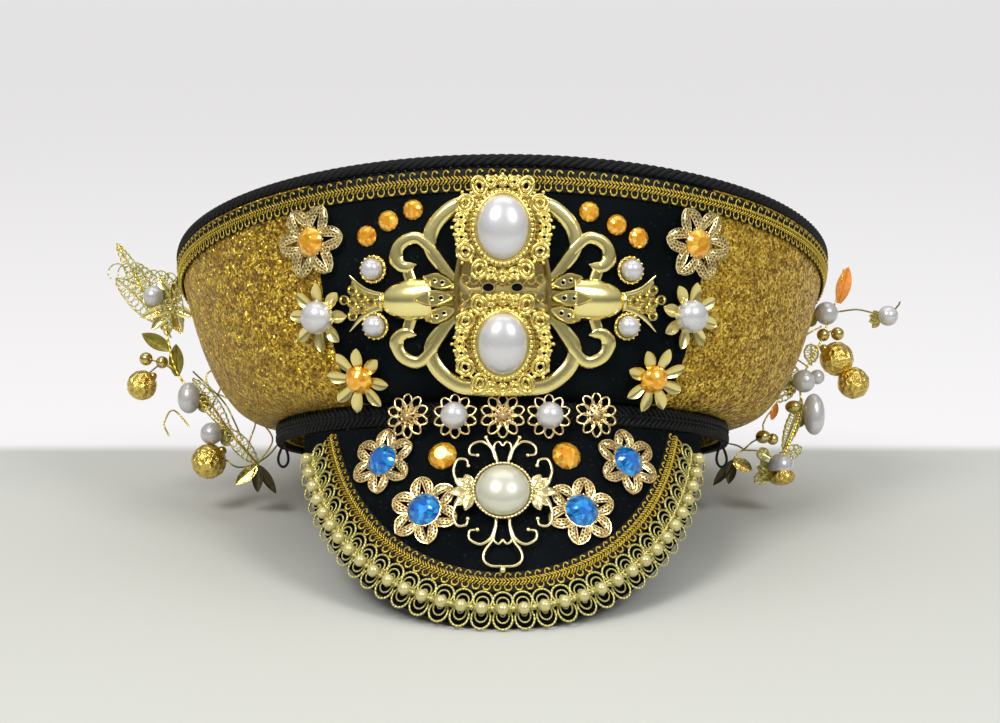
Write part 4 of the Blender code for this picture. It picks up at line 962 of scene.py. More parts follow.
def blade(pile, place, root, tip, width, eyes):
    """A cast leaf from root to tip: half width a sine of the way along, a raised rim and dark round eyes."""
    root, tip = np.asarray(root, float), np.asarray(tip, float)
    long = np.linalg.norm(tip - root)
    along = (tip - root) / long
    aside = unit(np.cross(UP, along))
    axes = np.stack([along, aside, np.cross(along, aside)])

    def lay(points):
        return put(place, root + points @ axes)

    edge = leaf_outline(long, width, 26)
    pile.tube(lay(edge + [0, 0, 0.3]), place[3], 0.38, sides=6, closed=True, tone=0.95)
    pile.grid(lay(layers(edge, ((0.04, 0.2), (0.95, 0.2), (0.95, -0.4), (0.04, -0.4)))), tone=0.75)
    for share, size in eyes:
        ring = loop_wire((long * share, 0), size, size, 10, 0.35)
        pile.tube(lay(ring), place[3], 0.22, sides=5, closed=True, tone=0.9)
        middle = np.array([long * share, 0, 0])
        cup = ((0.05, 0.3), (0.85, 0.3), (0.85, 0.15), (0.05, 0.15))
        rings = [middle + (ring - middle) * [k, k, 0] + [0, 0, z] for k, z in cup]
        pile.grid(lay(np.stack(rings)), finish=1)


def plate_scrolls(pile, side, flip):
    """One quarter's C scroll, hook, link and the fin along the flared arm."""
    scroll = [(x, y * C_REACH[flip]) for x, y in C_SCROLL]
    width = taper(44, [0, 0.2, 0.6, 1], [5.6, 6.0, 5.6, 3.8])
    plate_strip(pile, scroll, 44, PLATE_LIFT, width, 1.9, side, flip)
    width = taper(52, [0, 0.3, 0.75, 0.93, 1], [3.4, 4.6, 5.6, 4.4, 0.6])
    height = taper(52, [0, 0.9, 1], [1.9, 1.9, 0.8])
    plate_strip(pile, HOOK, 52, PLATE_LIFT + 0.15, width, height, side, flip)
    plate_strip(pile, LINK, 4, PLATE_LIFT + 0.1, 4.4, 1.5, side, flip, tone=0.6)
    width = taper(14, [0, 0.7, 1], [1.6, 2.4, 0.5])
    plate_strip(pile, FIN, 14, PLATE_LIFT + 0.2, width, np.linspace(2.4, 1.2, 14), side, flip, tone=0.9)


def flared_arm(pile, side):
    """The arm's web and the small pierced rings on it."""
    width = taper(12, [0, 0.6, 1], [4.4, 8.0, 14.0])
    plate_strip(pile, WEB, 12, PLATE_LIFT, width, 0.8, side, tone=0.55)
    for across, height in ARM_RINGS:
        place = plate_place(side * across, height, 1.2)
        ring = loop_wire((0, 0), 1.6, 1.6, 14, 0.3)
        pile.tube(put(place, ring), place[3], 0.5, sides=6, closed=True, tone=0.95)
        # A dark disc inside the ring: painted shade in the pierced hole
        pile.turned(place, [(0.7, -0.3), (0.7, 0.1), (0.2, 0.1)], 10, tone=0.1)


def barrel(pile, side):
    """A polished half barrel that swells from one end, its two collars and three pierced leaves."""
    origin, right, up, normal = bowl_place(side * BARREL_ANGLE, PLATE_MIDDLE, PLATE_LIFT)
    place = (origin, right * side, up, normal)
    u = np.linspace(0.02, 1, 30)[:, None] ** 1.6
    swell = (1 - (1 - u) ** 3.4) ** 0.5
    v = np.linspace(0, TURN, 36, endpoint=False)[None]
    rise = 1.2 + np.where(np.sin(v) > 0, 5.6, 1.4) * swell * np.sin(v)
    pile.grid(put(place, np.stack([13.0 - 20.3 * u + 0 * v, 7.9 * swell * np.cos(v), rise], -1)), tone=0.95)
    t = np.linspace(-0.15, math.pi + 0.15, 20)
    for collar, radius, wire in ((12.7, 3.4, 0.6), (-7.2, 7.95, 0.45)):
        ring = np.stack([0 * t + collar, np.cos(t) * radius, 1.0 + np.sin(t) * radius * 0.84], -1)
        pile.tube(put(place, ring), right, wire, sides=6, tone=0.9)
    blade(pile, place, (-15.6, 0.0, 5.7), (-1.6, 0.0, 8.7), 5.2, ((0.30, 0.95), (0.55, 0.8)))
    for flip in (-1, 1):
        root, tip = (-15.4, 4.4 * flip, 3.6), (-4.8, 7.9 * flip, 4.9)
        blade(pile, place, root, tip, 5.0, ((0.36, 0.9), (0.62, 0.75)))


def plate_block(pile):
    """The block behind the settings: a pierced lattice, two dark eyes and two upright edges."""
    plate_strip(pile, ((0.0, -17.0), (0.0, 0.0), (0.0, 17.0)), 16, 0.3, 33.0, 1.1, tone=0.30)
    plate_strip(pile, ((-24.0, 0.0), (0.0, 0.0), (24.0, 0.0)), 24, 0.4, 10.5, 1.5, tone=0.4)
    for across in np.linspace(-13.6, 13.6, 9):
        for height in (-6.2, 0.4, 6.8):
            place = plate_place(across, height, 1.6)
            ring = loop_wire((0, 0), 1.55, 1.8, 12, 0.3)
            pile.tube(put(place, ring), place[3], 0.45, sides=6, closed=True, tone=0.85)
            # A dark disc inside the ring: painted shade in the pierced hole
            pile.turned(place, [(0.8, -0.4), (0.8, 0.1), (0.2, 0.1)], 8, tone=0.25)
    for across in (-5.2, 5.2):
        place = plate_place(across, 3.8, 2.2)
        pile.turned(place, [(2.1, -1.2), (2.1, 0.0), (0.2, 0.0)], 16, tall=0.7, finish=1)
        ring = loop_wire((0, 0), 2.3, 1.7, 16, 0.1)
        pile.tube(put(place, ring), place[3], 0.45, sides=6, closed=True, tone=0.9)
    for side in (-1, 1):
        edge = ((side * 15.4, -14.0), (side * 16.6, -5.0), (side * 16.6, 6.0), (side * 15.4, 14.0))
        plate_strip(pile, edge, 22, 1.2, 2.2, 4.2, tone=0.35)


def scroll_plate():
    """The casting: bevelled C scrolls and hooks, two barrels with pierced leaves, two flared arms."""
    pile = Pile()
    for side in (-1, 1):
        for flip in (-1, 1):
            plate_scrolls(pile, side, flip)
        flared_arm(pile, side)
        barrel(pile, side)
    plate_block(pile)
    finishes = ["polished_gold", "black_velvet"]
    pile.piece("scroll_casting", finishes, ["scroll_plate"], sharp=44.0)


SETTINGS = (
    # name, height, squash of the frame, pearl half width, pearl half height
    ("upper", 70.4, 1.0, 9.6, 12.0),
    ("lower", 28.6, 0.95, 9.2, 11.4),
)
SETTING_LOOPS = (
    # across, up, half width, half height, turn, wire: one quarter, mirrored to the others
    (8.6, 15.2, 2.6, 3.5, -22, 0.78),
    (13.7, 8.9, 3.1, 2.8, -50, 0.78),
    (4.3, 16.6, 1.8, 1.9, 0, 0.62),
    (0.0, 17.2, 1.6, 1.8, 0, 0.62),
    (15.2, 3.6, 2.0, 1.8, 0, 0.62),
    (15.8, 0.0, 1.7, 1.7, 0, 0.55),
)
SETTING_BEADS = (
    (0.0, 19.6), (2.6, 18.9), (5.6, 18.8), (11.2, 17.2), (11.6, 12.6), (16.6, 10.4),
    (16.9, 6.2), (17.7, 2.6), (18.6, 0.0), (12.9, 5.0), (6.0, 13.8), (14.9, 13.0),
)


def oval_settings():
    """Lacy oval frames: a roped bezel, a ring of eyelets, mirrored double loops and beads, and the pearl."""
    t = np.linspace(0, TURN, 120, endpoint=False)
    both = (-1, 1)
    for name, height, squash, pearl_wide, pearl_tall in SETTINGS:
        place = bowl_place(0.0, height, 3.1)
        normal = place[3]
        pile = Pile()

        def oval(wide, tall, lift):
            return np.stack([wide * np.cos(t), tall * np.sin(t), 0 * t + lift], -1)

        # The backing under the lace is kept dark: painted shade behind the loops
        back = [(0.50, 0.1), (0.50, 0.6), (0.66, 0.7), (0.72, 0.4), (0.72, 0.05)]
        rings = [oval(18.6 * r, 20.2 * squash * r, h) for r, h in back]
        pile.grid(put(place, np.stack(rings)), round_rows=True, tone=0.30)
        for grow, lift, wire, sides in ((0.5, 1.7, 0.75, 8), (2.3, 1.0, 0.42, 6)):
            path = oval(pearl_wide + grow, pearl_tall + grow, lift)
            pile.tube(put(place, path), normal, wire, sides=sides, closed=True, tone=0.8)
        rope = around(place, 44, pearl_wide + 1.35, 1.9, tall=pearl_tall + 1.35)
        pile.balls(rope, 0.66, sides=8, rows=5, stretch=(1.0, 1.25, 0.9), tone=0.95)
        eyelets = around(place, 26, pearl_wide + 3.0, 0.0, 0.0, pearl_tall + 2.9)
        ring = loop_wire((0, 0), 1.15, 1.15, 12, 1.2)
        pile.tube(put_many(eyelets, ring), normal, 0.38, sides=6, closed=True, tone=0.75)
        for across, up, half_wide, half_tall, turn, wire in SETTING_LOOPS:
            quarters = {(x if across else 1, y if up else 1) for x in both for y in both}
            for flip_x, flip_y in sorted(quarters):
                a = math.radians(turn * flip_x * flip_y)
                spin = np.array([[math.cos(a), math.sin(a), 0], [-math.sin(a), math.cos(a), 0], [0, 0, 1]])
                shift = [across * flip_x, up * flip_y * squash, 0]
                for inner, lift in ((1.0, 0.9), (0.52, 1.3)):
                    thick = wire * (0.6 + 0.4 * inner)
                    loop = loop_wire((0, 0), half_wide * inner, half_tall * inner, 16, lift) @ spin + shift
                    pile.tube(put(place, loop), normal, thick, sides=7, closed=True, tone=0.85)
        beads = sorted({(x * fx, y * fy * squash) for x, y in SETTING_BEADS for fx in both for fy in both})
        spots = put(place, [(x, y, 1.0) for x, y in beads])
        basis = np.tile(np.stack(place[1:]), (len(beads), 1, 1))
        pile.balls((spots, basis), 0.74, sides=8, rows=5, tone=0.95)
        pile.piece(name + "_setting_lace", ["cast_gold"], [name + "_setting"], sharp=60.0)
        stone = Pile()
        turn = np.linspace(0, math.pi / 2 * 0.985, 20)
        profile = np.stack([np.cos(turn), 1.5 + 6.6 * np.sin(turn) ** 0.95], -1)
        profile = np.vstack([[0.9, 0.9], profile])
        profile[:, 0] *= pearl_wide * 0.995
        stone.turned(place, profile, 56, tall=pearl_tall / pearl_wide)
        stone.piece(name + "_oval_pearl", ["white_pearl"], [name + "_pearl"], sharp=80.0)


# Stones and studs
def cut_stone(pile, place, radius, rise, base, sides, finish, seed):
    """A cut stone: girdle, two rows of slanted facets and a flat table, each facet with its own random
    brightness: a painted reflection.
    """
    chance = np.random.default_rng(seed)
    t = np.linspace(0, TURN, sides, endpoint=False)
    h = t + TURN / sides / 2
    rings = []
    for share, height, a in ((1.0, 0.0, t), (1.0, 0.18, t), (0.80, 0.62, h), (0.46, 1.0, t)):
        r = share * radius
        rings.append(np.stack([r * np.cos(a), r * np.sin(a), base + height * rise + 0 * a], -1))
    k = np.arange(sides)
    m = (k + 1) % sides
    faces = []
    for row in range(3):
        low, high = row * sides, (row + 1) * sides
        if row == 1:
            faces += [(low + k, low + m, high + k), (low + m, high + m, high + k)]
        else:
            faces += [(low + k, low + m, high + m), (low + k, high + m, high + k)]
    faces = np.concatenate([np.stack(face, -1) for face in faces])
    # A random painted reflection for each facet
    tone = chance.uniform(0.15, 0.95, len(faces))
    start = pile.add(put(place, np.concatenate(rings)), faces, np.zeros((len(faces), 3, 2)), finish, tone)
    for ring in (k[::-1], 3 * sides + k):
        pile.cover(ring[None] + start, np.zeros((1, sides, 2)), finish, 0.55)


STUDS = (
    ("upper_left", -21.5, 56.9, 10.2),
    ("upper_right", 21.2, 56.5, 10.2),
    ("lower_left", -22.3, 36.2, 10.2),
    ("lower_right", 21.8, 36.0, 10.2),
)
SMALL_STONES = (
    ("left_outer", -22.3, 69.3, 8.0),
    ("left_middle", -18.4, 74.4, 7.9),
    ("left_inner", -14.2, 78.0, 7.7),
    ("right_inner", 13.7, 77.2, 7.7),
    ("right_middle", 18.4, 72.9, 7.9),
    ("right_outer", 22.3, 68.6, 8.0),
)
PEAK_STONES = (("peak_stone_left", -12.9, 12.8, 11.0), ("peak_stone_right", 13.7, 12.8, 11.0))



def studs():
    """Pearls in scalloped cups edged with beads."""
    scallops = 1 + 0.03 * np.cos(np.linspace(0, TURN, 48, endpoint=False) * 16)
    for name, angle, height, diameter in STUDS:
        place = bowl_place(angle, height, 0.3)
        pile = Pile()
        r = diameter * 0.54
        cup = [(0.9, 0.0), (0.97, 0.5), (0.93, 1.6), (0.80, 1.9), (0.74, 1.2), (0.2, 1.0)]
        pile.turned(place, [(r * share, rise) for share, rise in cup], 48, outline=scallops, tone=0.6)
        pile.balls(around(place, 16, r * 0.88, 1.75), 0.62, sides=8, rows=5, tone=0.95)
        pile.balls(single(place, 3.0), r * 0.74, sides=28, rows=18, finish=1)
        finishes = ["cast_gold", "white_pearl"]
        pile.piece("stud_" + name, finishes, ["pearl_stud_" + name], sharp=60.0)


def rhinestone(name, node, place, diameter, rise, seed):
    pile = Pile()
    cut_stone(pile, place, diameter / 2, rise, 0.0, 12, 0, seed)
    pile.piece("rhinestone_" + name, ["orange_stone"], [node], sharp=5.0)


def small_stones():
    for k, (name, angle, height, diameter) in enumerate(SMALL_STONES):
        place = bowl_place(angle, height, 0.3, turn=7.0 * k)
        rhinestone(name, "orange_stone_" + name, place, diameter, 2.3, 11 + k)
    for k, (name, angle, distance, diameter) in enumerate(PEAK_STONES):
        rhinestone(name, name, peak_place(angle, distance, PEAK_TOP + 0.3, 9.0), diameter, 3.2, 31 + k)


# Flowers
def mesh_flower(name, node, place, diameter, stone, finishes, seed, tip):
    """Six pierced petals in two lobes each, with rim wires round them, and a cut stone in a beaded seat."""
    pile = Pile()
    normal = place[3]
    reach = diameter / 2
    places = around(place, 6, 0.0)
    start = stone * 0.36
    s = np.linspace(0, 1, 15)
    long = reach - start
    centre = start + long * s
    outer = reach * 0.315 * np.sin(np.pi * (0.10 + 0.90 * s)) ** 0.6 * (0.9 + 0.2 * s)
    slot = np.minimum(1.7 * np.clip(1.0 - 1.2 * s, 0.0, 1.0) + 0.05, outer * 0.6 + 0.02)
    dip = tip * np.sin(np.pi * s) + 0.35 * s
    pattern = s * long / 1.5, np.array([0.0, 0.75, 1.5, 2.25, 3.0, 3.0, 1.5, 0.0, 0.0])
    for side in (1, -1):
        loop = []
        for shares, low, arch in (((0.0, 0.25, 0.5, 0.75, 1.0), 0.5, 0.55), ((1.0, 0.5, 0.0), 0.15, 0.45)):
            for share in shares:
                y = slot + (np.maximum(outer, slot + 0.06) - slot) * share
                loop.append(np.stack([centre, side * y, low + dip + arch * math.sin(math.pi * share)], -1))
        sheet = put_many(places, np.stack(loop, 1))
        pile.grid(sheet, caps=False, finish=1, tone=0.8, pattern=pattern)
        wire = np.stack([centre, side * np.maximum(outer, 0.05), 0.55 + dip], -1)
        inner = np.stack([centre[:12], side * slot[:12], 0.6 + dip[:12]], -1)
        pile.tube(put_many(places, wire), normal, 0.36, sides=6, tone=0.9)
        pile.tube(put_many(places, inner), normal, 0.24, sides=5, tone=0.85)
    seat = stone / 2
    cup = [(seat * 0.95, 0.1), (seat * 1.06, 0.9), (seat * 1.02, 1.6), (seat * 0.9, 1.7)]
    pile.turned(place, cup, 40, tone=0.5)
    pile.balls(around(place, 18, seat * 1.05, 1.5), 0.42, sides=7, rows=4, tone=0.9)
    cut_stone(pile, place, seat, stone * 0.30, 1.1, 14, 2, seed)
    pile.piece(name, finishes, [node], sharp=28.0)


def petal_flower(name, node, place, diameter, stone, kind, seed):
    """Eight spoon-shaped petals: width a sine of the way along, face scooped between raised edges."""
    pile = Pile()
    chance = np.random.default_rng(seed)
    origins, basis = around(place, 8, 0.0, 0.0)
    tilt = chance.uniform(-0.06, 0.06, 8)
    cosine, sine = np.cos(tilt)[:, None], np.sin(tilt)[:, None]
    right, up = basis[:, 0], basis[:, 1]
    turned = np.stack([right * cosine + up * sine, up * cosine - right * sine, basis[:, 2]], 1)
    start, long = stone * 0.30, diameter / 2 - stone * 0.30
    s = np.linspace(0, 1, 16)[:, None]
    half = diameter * 0.112 * np.sin(np.pi * np.clip(0.1 + 0.9 * s, 0, 1)) ** 0.75 * (0.55 + 0.55 * s) + 0.04
    share = np.concatenate([np.linspace(-1, 1, 9), np.linspace(1, -1, 5)])[None]
    top = np.concatenate([np.ones(9), np.zeros(5)])[None]
    scoop = 1.15 * np.sin(np.pi * s) * share**2
    curl = 0.5 + 1.3 * s**2
    z = curl + scoop + np.where(top > 0, 0.30, -0.15)
    x = start + long * s + 0 * share
    pile.grid(put_many((origins, turned), np.stack([x, half * share, z], -1)), tone=0.75)
    cup = [(stone * 0.42, 0.0), (stone * 0.46, 0.8), (stone * 0.40, 1.5), (stone * 0.1, 1.6)]
    pile.turned(place, cup, 24, tone=0.5)
    if kind == "pearl":
        centre = single(place, 1.1 + stone * 0.16)
        pile.balls(centre, stone * 0.47, sides=36, rows=22, stretch=(1, 1, 0.86), finish=1)
        finish = "white_pearl"
    else:
        cut_stone(pile, place, stone / 2, stone * 0.34, 1.0, 14, 1, seed)
        finish = "orange_stone"
    pile.piece(name, ["polished_gold", finish], [node], sharp=32.0)


def row_daisy(name, node, place, diameter, kind):
    """A small wire daisy: ten petal loops, and a pearl or a dome of finer loops in the middle."""
    pile = Pile()
    normal = place[3]
    reach = diameter / 2
    foot = diameter * 0.15
    cup = [(foot, -2.0), (foot, 0.4), (reach * 0.36, 0.6), (reach * 0.34, 0.2), (foot * 0.5, 0.1)]
    pile.turned(place, cup, 18, tone=0.3)
    places = around(place, 10, reach * 0.66, 0.0)
    loop = loop_wire((0, 0), reach * 0.20, reach * 0.34, 16, 0.75, pinch=-0.25)[:, [1, 0, 2]]
    loop[:, 2] += 0.5 * np.sin(np.linspace(0, TURN, 16, endpoint=False)) ** 2
    pile.tube(put_many(places, loop), normal, 0.47, sides=7, closed=True, tone=0.85)
    if kind == "pearl":
        pile.balls(single(place, 3.1), 5.1, sides=32, rows=20, stretch=(1, 1, 0.9), finish=1)
        pile.balls(around(place, 12, reach * 0.40, 0.8), 0.45, sides=7, rows=4, tone=0.9)
        finish = "white_pearl"
    else:
        inner = around(place, 9, reach * 0.30, 0.4, 0.0)
        small = loop_wire((0, 0), reach * 0.11, reach * 0.21, 12, 0.0, pinch=-0.2)[:, [1, 0, 2]]
        small[:, 2] = 1.1 - 0.16 * small[:, 0]
        pile.tube(put_many(inner, small), normal, 0.30, sides=6, closed=True, tone=0.9)
        pile.balls(single(place, 1.5), 0.9, sides=12, rows=7, tone=0.9)
        pile.balls(around(place, 9, reach * 0.50, 1.0), 0.42, sides=7, rows=4, tone=0.9)
        finish = "pale_gold"
    pile.piece(name, ["rose_gold", finish], [node], sharp=60.0)


WALL_FLOWERS = (
    ("filigree_flower_left", -32.3, 69.0, 28.5, 11.0, 90, 1.35, "mesh"),
    ("filigree_flower_right", 33.1, 68.4, 28.5, 11.0, 90, 1.1, "mesh"),
    ("pearl_daisy_left", -33.1, 41.0, 26.0, 13.4, 15, 0.3, "pearl"),
    ("pearl_daisy_right", 33.8, 41.5, 26.0, 13.4, 15, 0.3, "pearl"),
    ("orange_daisy_left", -28.2, 17.4, 26.0, 11.4, 10, 0.6, "stone"),
    ("orange_daisy_right", 29.8, 17.8, 26.0, 11.4, 10, 0.6, "stone"),
)
ROW_DAISIES = (
    ("row_daisy_1", -20.9, 3.0, 16.6, "lace"),
    ("row_daisy_2", -10.2, 2.4, 16.4, "pearl"),
    ("row_daisy_3", 0.0, 2.4, 16.4, "lace"),
    ("row_daisy_4", 9.9, 2.4, 16.4, "pearl"),
    ("row_daisy_5", 20.6, 3.4, 16.6, "lace"),
)
PEAK_FLOWERS = (
    ("blue_flower_upper_left", -26.4, 14.4, 26.0, 12.0, 0),
    ("blue_flower_upper_right", 27.6, 14.6, 26.0, 12.0, 0),
    ("blue_flower_lower_left", -15.4, 34.6, 26.6, 12.6, 12),
    ("blue_flower_lower_right", 15.4, 35.0, 26.6, 12.6, -12),
)

ANTIQUE = ["pale_gold", "antique_mesh", "orange_stone"]
ROSE = ["rose_gold", "rose_mesh", "blue_stone"]


def flowers():
    for seed, (node, angle, height, diameter, stone, turn, lift, kind) in enumerate(WALL_FLOWERS):
        place = bowl_place(angle, height, lift, turn)
        if kind == "mesh":
            mesh_flower(node + "_filigree", node, place, diameter, stone, ANTIQUE, 50 + seed, 0.9)
        else:
            petal_flower(node + "_petals", node, place, diameter, stone, kind, 60 + seed)
    for seed, (node, angle, distance, diameter, stone, turn) in enumerate(PEAK_FLOWERS):
        place = peak_place(angle, distance, PEAK_TOP + 0.3, turn)
        mesh_flower(node + "_filigree", node, place, diameter, stone, ROSE, 70 + seed, 0.7)
    for node, angle, height, diameter, kind in ROW_DAISIES:
        row_daisy(node + "_loops", node, band_place(angle, height, 2.3), diameter, kind)


# The peak's ornament
HORN = ((2.0, 9.8), (2.2, 13.0), (3.2, 16.5), (4.8, 19.0), (6.2, 21.8))
BELL = ((2.4, 9.8), (2.7, 14.4), (4.0, 19.0), (6.6, 23.0), (6.7, 26.4), (4.2, 28.4), (0.0, 28.6))
BOW = ((0.0, 18.4), (1.4, 20.0), (2.9, 19.2), (3.3, 17.4))
SIDE_HOOK = ((2.6, 13.0), (4.4, 17.8), (8.0, 20.2), (11.8, 18.4), (12.0, 15.2), (9.2, 14.6))
CORNER = ((16.4, 3.4), (18.0, 8.2), (16.6, 12.8), (13.4, 12.8), (12.6, 10.4))
BEZEL = (
    (4.0, -1.55), (4.0, -0.1), (10.4, -0.1), (10.9, 0.5), (10.95, 2.6),
    (10.5, 2.9), (10.3, 2.2), (10.2, 1.2), (3.0, 1.1),
)


def peak_ornament():
    """Mirrored scroll wires that end in small balls, side leaf clusters, a roped bezel and a round pearl."""
    place = peak_place(0.0, 28.4, PEAK_TOP + 1.9)
    normal = place[3]
    pile = Pile()
    for side in (-1, 1):
        for flip in (-1, 1):
            wires = ((BELL if flip < 0 else HORN, 0.62), (BOW, 0.48), (SIDE_HOOK, 0.60), (CORNER, 0.60))
            for points, width in wires:
                steps = 6 * len(points)
                path = curve(points, steps) * np.array([side, flip])
                path = np.column_stack([path, np.full(steps, 0.65)])
                radius = width * taper(steps, [0, 0.3, 0.8, 1], [1.1, 1.0, 0.9, 0.7])
                pile.tube(put(place, path), normal, radius, sides=8, tone=0.85)
                if points is not BELL:
                    tip = (put(place, path[-1]), *place[1:])
                    pile.balls(single(tip), width * 1.45, sides=10, rows=6, tone=0.95)
        for turn, long in ((0, 8.4), (34, 7.6), (-34, 7.6), (66, 6.0), (-66, 6.0)):
            a = math.radians(turn)
            right = place[1] * math.cos(a) * side + place[2] * math.sin(a)
            root = put(place, np.array([side * 11.2, math.sin(a) * 1.5, 0.3]))
            edge = leaf_outline(long, 3.4, 20)
            edge[:, 2] = 0.5 + 0.9 * np.sin(np.pi * edge[:, 0] / long)
            at = (root, right, np.cross(normal, right), normal)
            pile.tube(put(at, edge), normal, 0.3, sides=5, closed=True, tone=0.95)
            flat = layers(edge, ((0.05, 0.1), (0.9, -0.1), (0.9, -0.45), (0.05, -0.45)))
            pile.grid(put(at, flat), tone=0.6)
        dots = around((put(place, np.array([side * 14.6, 0, 1.3])), *place[1:]), 9, 2.3)
        pile.balls(dots, 0.6, sides=8, rows=5, tone=0.95)
    drop = (put(place, np.array([0.0, -30.0, 0.65])), *place[1:])
    pile.balls(single(drop), 1.25, sides=12, rows=8, tone=0.95)
    pile.turned(place, BEZEL, 72, tone=0.55)
    pile.balls(around(place, 48, 10.75, 2.7), 0.58, sides=8, rows=5, stretch=(0.9, 1.35, 1.0), tone=0.95)
    pile.piece("peak_filigree_wires", ["pale_gold"], ["peak_filigree"], sharp=60.0)
    stone = Pile()
    turn = np.linspace(0, math.pi / 2 * 0.985, 22)
    profile = np.vstack([[9.4, 1.5], np.stack([10.0 * np.cos(turn), 1.75 + 7.2 * np.sin(turn)], -1)])
    stone.turned(place, profile, 64)
    stone.piece("peak_round_pearl", ["ivory_pearl"], ["peak_pearl"], sharp=80.0)


# Side sprays, in mm outwards and up, in a plane this far behind the ring's middle
BACK = 12.0
# Each ball: outwards, up, diameter, height, finish
LEFT_BALLS = (
    (152.0, 67.0, 9.4, 9.4, "pearl"),
    (154.5, 39.5, 5.8, 5.8, "gold"),
    (147.5, 38.0, 5.4, 5.4, "gold"),
    (156.0, 28.0, 13.2, 13.2, "foil"),
    (135.5, 22.5, 10.0, 13.5, "pearl"),
    (125.5, 7.0, 9.6, 9.6, "pearl"),
    (126.3, -5.0, 15.4, 15.4, "foil"),
)
RIGHT_BALLS = (
    (141.0, 59.5, 10.2, 10.2, "pearl"),
    (167.8, 58.4, 8.8, 8.8, "pearl"),
    (145.6, 50.5, 5.8, 5.8, "gold"),
    (139.4, 50.0, 5.6, 5.6, "gold"),
    (145.0, 39.5, 15.0, 15.0, "foil"),
    (152.0, 29.0, 14.0, 14.0, "foil"),
    (130.6, 29.8, 10.0, 10.0, "pearl"),
    (136.4, 31.6, 6.4, 6.4, "pearl"),
    (134.6, 15.4, 9.6, 18.0, "pearl"),
    (126.0, 18.6, 7.6, 5.6, "gold"),
    (112.5, 5.6, 6.6, 5.8, "gold"),
    (116.6, 4.6, 5.0, 5.0, "gold"),
    (119.9, -7.1, 11.2, 11.2, "pearl"),
    (119.9, -11.4, 12.4, 8.0, "foil"),
)
# Each leaf: root outwards, root up, tip outwards, tip up, width, finish
LEFT_LEAVES = (
    (144.5, 50.0, 168.5, 90.5, 7.0, "lace"),
    (142.5, 53.0, 168.5, 75.0, 10.5, "lace"),
    (141.0, 55.0, 160.0, 82.0, 8.5, "lace"),
    (140.0, 52.0, 148.0, 78.0, 9.0, "lace"),
    (143.0, 62.0, 152.5, 52.0, 5.0, "gilt"),
    (143.0, 62.0, 139.0, 50.0, 5.0, "gilt"),
    (143.5, 63.0, 157.5, 57.0, 4.6, "gilt"),
    (142.0, 63.0, 141.5, 76.0, 5.2, "gilt"),
    (142.0, 63.0, 150.0, 75.5, 4.8, "gilt"),
    (143.0, 62.0, 134.5, 58.0, 4.8, "gilt"),
    (144.0, 43.5, 156.5, 50.5, 6.4, "olive"),
    (141.0, 32.0, 141.5, 46.0, 6.4, "olive"),
    (110.8, 22.0, 122.7, 34.6, 6.0, "olive"),
    (117.5, 8.0, 134.0, 31.0, 7.0, "lace"),
    (105.5, -6.0, 119.5, 9.5, 7.0, "lace"),
    (105.5, -7.0, 114.5, -15.0, 5.4, "bronze"),
    (105.3, -7.0, 105.0, -18.5, 4.8, "dark"),
    (104.5, -7.0, 97.0, -19.0, 4.2, "dark"),
)
RIGHT_LEAVES = (
    (146.6, 64.0, 151.0, 80.0, 6.4, "orange"),
    (134.0, 38.0, 134.0, 46.0, 6.0, "lace"),
    (128.0, 31.0, 122.5, 36.0, 6.0, "lace"),
    (127.0, 27.0, 117.5, 21.0, 4.6, "lace"),
    (121.0, 0.0, 129.5, 22.0, 5.0, "lace"),
    (121.4, 1.0, 129.0, 20.7, 5.6, "lace"),
    (119.5, -3.0, 129.0, 1.0, 5.6, "lace"),
    (116.0, -9.0, 108.5, -14.0, 5.6, "lace"),
    (114.0, -3.0, 110.5, -0.5, 5.0, "lace"),
    (116.4, 13.0, 118.6, 20.5, 3.2, "orange"),
    (99.5, -4.5, 90.5, -15.5, 4.2, "dark"),
    (99.5, -4.5, 97.0, -15.0, 4.6, "dark"),
    (99.5, -4.5, 107.5, -9.0, 5.6, "bronze"),
)
LEFT_WIRES = (
    ((96.3, 3.0), (101.0, -2.5), (105.5, -6.0)),
    ((105.5, -6.0), (114.0, 4.0), (126.5, 17.0), (140.5, 33.0), (146.5, 53.0), (152.0, 67.0)),
    ((140.5, 33.0), (144.0, 36.5), (147.5, 38.0), (154.5, 39.5)),
    ((140.5, 33.0), (147.0, 37.0), (152.5, 34.0), (156.0, 28.0)),
    ((126.5, 17.0), (131.0, 21.5), (135.5, 22.5)),
    ((114.0, 4.0), (119.0, 9.0), (125.5, 7.0)),
    ((105.5, -6.0), (114.0, -7.5), (120.0, -4.0), (126.0, -5.0)),
    ((105.5, -6.0), (99.0, 4.0), (104.0, 12.0), (106.5, 16.0)),
    ((110.0, 0.0), (107.0, 10.0), (106.0, 14.0)),
    ((126.5, 17.0), (122.0, 27.0), (120.0, 40.0), (127.5, 46.0)),
    ((118.0, 22.0), (126.0, 26.0), (128.0, 33.0), (121.0, 36.0)),
    ((135.0, 10.0), (142.0, 17.0), (146.0, 12.0), (144.0, 6.0)),
    ((112.0, 4.0), (120.0, 20.0), (134.0, 34.0)),
    ((144.0, 52.0), (156.0, 68.0), (168.0, 90.0)),
)
LEFT_COILS = (((170.0, 78.0), (161.0, 77.5), 2, 3.4), ((161.0, 77.5), (143.0, 74.5), 5, 2.4))
